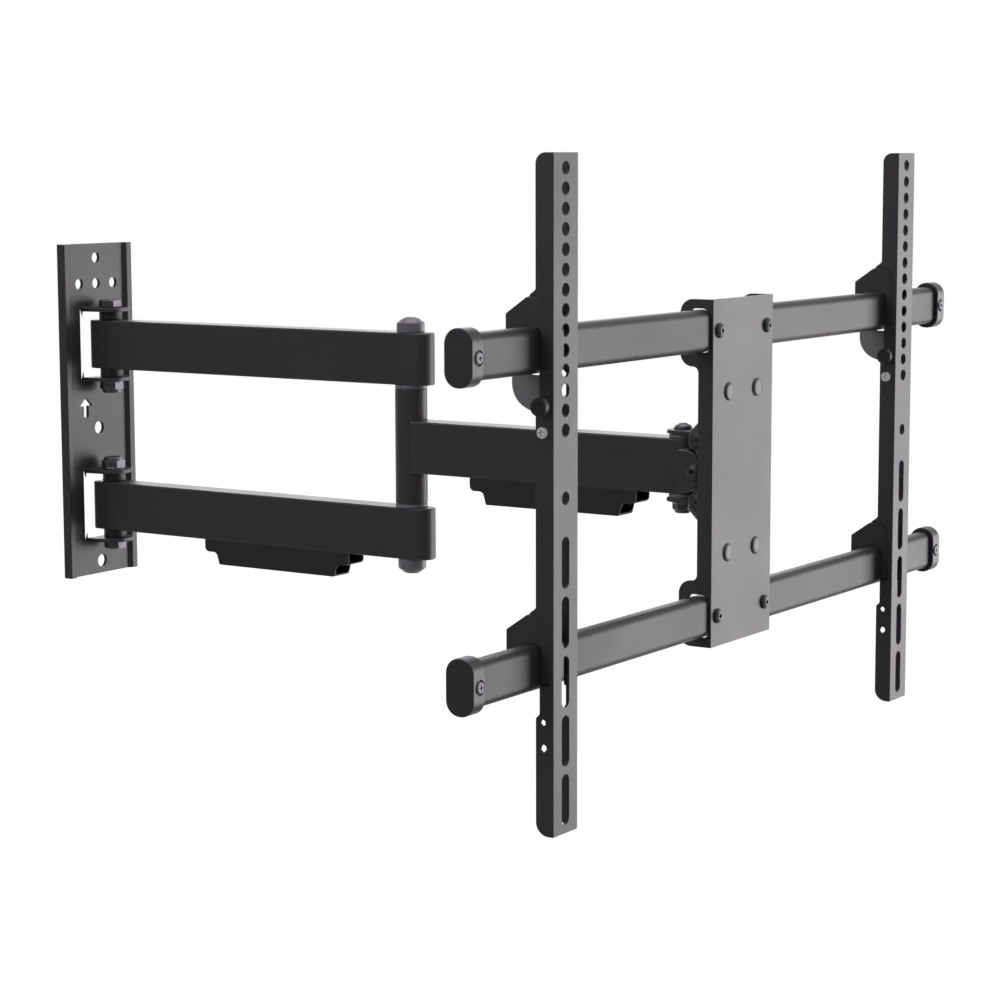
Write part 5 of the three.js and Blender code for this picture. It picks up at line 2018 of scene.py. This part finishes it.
# ---------------------------------------------------------------- studio
@dataclass(frozen=True)
class Viewpoint:
    """The camera, in metres in the model's frame."""

    location: tuple[float, float, float] = (-1.6110, -1.4758, 0.2044)
    forward: tuple[float, float, float] = (0.82621, 0.54825, -0.12965)
    roll: float = -0.15  # degrees
    lens: float = 93.25  # millimetres
    sensor: float = 36.0  # millimetres
    farthest: float = 50.0

    def build(self) -> None:
        """Makes the camera and gives it to the scene."""
        data = bpy.data.cameras.new("view")
        data.lens = self.lens
        data.sensor_width = self.sensor
        data.clip_end = self.farthest
        camera = bpy.data.objects.new("view", data)
        bpy.context.scene.collection.objects.link(camera)
        forward = Vector(self.forward).normalized()
        level = forward.cross(Vector((0, 0, 1))).normalized()
        upright = level.cross(forward)
        cos, sin = math.cos(math.radians(self.roll)), math.sin(math.radians(self.roll))
        right, up = level * cos + upright * sin, upright * cos - level * sin
        turn = Matrix((right, up, -forward)).transposed().to_4x4()
        camera.matrix_world = Matrix.Translation(self.location) @ turn
        bpy.context.scene.camera = camera


@dataclass(frozen=True)
class Softbox:
    """One large soft lamp, in metres."""

    name: str
    at: tuple[float, float, float]
    width: float
    height: float
    watts: float
    tint: tuple[float, float, float] = (1.0, 0.953, 1.0)

    def build(self, target: Vector) -> None:
        """Hangs the lamp and turns it to the target.

        Args:
            target: What it lights.
        """
        data = bpy.data.lights.new(self.name, "AREA")
        data.shape = "RECTANGLE"
        data.size = self.width
        data.size_y = self.height
        data.energy = self.watts
        data.color = self.tint
        lamp = bpy.data.objects.new(self.name, data)
        bpy.context.scene.collection.objects.link(lamp)
        turn = (target - Vector(self.at)).to_track_quat("-Z", "Y").to_matrix().to_4x4()
        lamp.matrix_world = Matrix.Translation(self.at) @ turn


@dataclass(frozen=True)
class Studio:
    """A plain white sweep of floor, soft lamps and a pale surround, in metres."""

    floor_drop: float = 1.6  # from the lowest point of the mount to the floor
    floor_reach: float = 14.0  # from the middle of the floor to its edges
    floor_colour: str = "#b9b9b9"
    floor_glow: float = 0.93  # what makes the floor as white as the surround
    light_side: tuple[float, float, float] = (0.8, -0.55, -0.2)  # where the surround is brightest
    light_span: tuple[float, float] = (-0.1, 0.9)  # over which it goes from dim to bright
    light_levels: tuple[float, float] = (0.17, 0.6)
    sweep_side: tuple[float, float, float] = (0.82, 0.55, -0.05)  # where the white sweep hangs
    sweep_span: tuple[float, float] = (0.35, 0.75)  # over which the surround turns into it
    sweep_reach: tuple[float, float] = (0.8, 3.0)  # over which the floor turns into it
    lamps: tuple[Softbox, ...] = (
        Softbox("key", (3.8, -3.0, -0.5), 2.6, 3.0, 105),
        Softbox("rim", (3.0, 2.2, 1.0), 2.6, 2.2, 30),
        Softbox("top", (0.4, -0.4, 3.2), 3.0, 3.0, 60),
        Softbox("fill", (-2.8, 0.6, 1.6), 2.0, 2.0, 20),
    )

    @staticmethod
    def ramp(
        tree: bpy.types.NodeTree,
        place: bpy.types.NodeSocket,
        toward: Sequence[float],
        span: tuple[float, float],
        levels: tuple[float, float] = (0.0, 1.0),
    ) -> bpy.types.NodeSocket:
        """Makes a soft change of level towards one side.

        Args:
            tree: The node tree to add to.
            place: The direction or the place it is worked out at.
            toward: The direction it rises in.
            span: How far that way it starts and ends.
            levels: Its level before the start and after the end.

        Returns:
            The level.
        """
        side = tuple(Vector(toward).normalized())
        along = add(tree, "ShaderNodeVectorMath", {0: place, 1: side}, operation="DOT_PRODUCT")
        values = {
            "Value": along.outputs["Value"],
            "From Min": span[0],
            "From Max": span[1],
            "To Min": levels[0],
            "To Max": levels[1],
        }
        soft = add(tree, "ShaderNodeMapRange", values, interpolation_type="SMOOTHSTEP")
        return soft.outputs["Result"]

    @staticmethod
    def meets_white(
        tree: bpy.types.NodeTree, sweep: bpy.types.NodeSocket
    ) -> bpy.types.NodeSocket:
        """Tells which rays meet the white backdrop.

        Args:
            tree: The node tree to add to.
            sweep: How much of the white sweep hangs where the ray looks, from 0 to 1.

        Returns:
            One to the camera, and the sweep's own part of it to a reflection or through glass.
        """
        path = add(tree, "ShaderNodeLightPath").outputs
        rays = {0: path["Is Glossy Ray"], 1: path["Is Transmission Ray"]}
        bounced = add(tree, "ShaderNodeMath", rays, operation="MAXIMUM")
        part = add(tree, "ShaderNodeMath", {0: bounced.outputs[0], 1: sweep}, operation="MULTIPLY")
        either = {0: path["Is Camera Ray"], 1: part.outputs[0]}
        return add(tree, "ShaderNodeMath", either, operation="MAXIMUM").outputs[0]

    def world(self) -> None:
        """Makes the surround: white to the camera and as the sweep, softer as the mount's light."""
        world = bpy.data.worlds.new("surround")
        world.use_nodes = True
        tree = world.node_tree
        tree.nodes.clear()
        direction = add(tree, "ShaderNodeTexCoord").outputs["Generated"]
        level = self.ramp(tree, direction, self.light_side, self.light_span, self.light_levels)
        sweep = self.ramp(tree, direction, self.sweep_side, self.sweep_span)
        white = self.meets_white(tree, sweep)
        strength = add(tree, "ShaderNodeMix", {0: white, 2: level, 3: 1.0}, data_type="FLOAT")
        glow = add(
            tree,
            "ShaderNodeBackground",
            {"Color": (1, 1, 1, 1), "Strength": strength.outputs[0]},
        )
        add(tree, "ShaderNodeOutputWorld", {"Surface": glow.outputs["Background"]})
        bpy.context.scene.world = world

    def vinyl(self) -> bpy.types.Material:
        """Makes the floor's matt white vinyl, which keeps a faint shadow and meets the surround.

        Returns:
            The material.
        """
        material = bpy.data.materials.new("matt vinyl floor, rolled out")
        material.use_nodes = True
        tree = material.node_tree
        tree.nodes.clear()
        matt = add(tree, "ShaderNodeBsdfDiffuse", {"Color": linear(self.floor_colour)})
        glow = add(
            tree, "ShaderNodeEmission", {"Color": (1, 1, 1, 1), "Strength": self.floor_glow}
        )
        lit = add(
            tree, "ShaderNodeAddShader", {0: matt.outputs["BSDF"], 1: glow.outputs["Emission"]}
        )
        place = add(tree, "ShaderNodeTexCoord").outputs["Object"]
        sweep = self.ramp(tree, place, self.sweep_side, self.sweep_reach)
        white = self.meets_white(tree, sweep)
        mixed = add(
            tree,
            "ShaderNodeMixShader",
            {0: white, 1: matt.outputs["BSDF"], 2: lit.outputs["Shader"]},
        )
        add(tree, "ShaderNodeOutputMaterial", {"Surface": mixed.outputs["Shader"]})
        return material

    def floor(self, low: Vector) -> None:
        """Lays the floor under the mount.

        Args:
            low: The lowest corner of the mount's box.
        """
        reach = self.floor_reach
        corners = [(x, y, 0) for x, y in rectangle(-reach, reach, -reach, reach)]
        mesh = bpy.data.meshes.new("floor")
        mesh.from_pydata(corners, [], [range(len(corners))])
        mesh.materials.append(self.vinyl())
        floor = standing(mesh)
        floor.location.z = low.z - self.floor_drop

    def build(self, low: Vector, high: Vector) -> None:
        """Sets the surround, the floor and the lamps round the mount.

        Args:
            low: The lowest corner of the mount's box.
            high: Its highest corner.
        """
        self.world()
        self.floor(low)
        for lamp in self.lamps:
            lamp.build((low + high) / 2)
        bpy.context.scene.view_settings.view_transform = "Standard"


def main() -> None:
    """Builds the studio and every piece of the mount in order."""
    logging.basicConfig(level=logging.INFO, format="%(name)s: %(message)s")
    Viewpoint().build()
    Studio().build(*CAD_BOX)
    fasteners = FastenerSet()
    punch = Punch()
    WallAnchor().build(fasteners)
    linkage = ArmLinkage()
    linkage.build_arms(fasteners)
    linkage.build_forearm()
    SwivelHead().build(fasteners)
    rack = TiltingFrame()
    rack.build_plates()
    rack.build_rails(RailSweep(), fasteners)
    rack.build_fasteners(fasteners)
    for side in Side:
        TvBracket(side).build(punch)


if __name__ == "__main__":
    main()
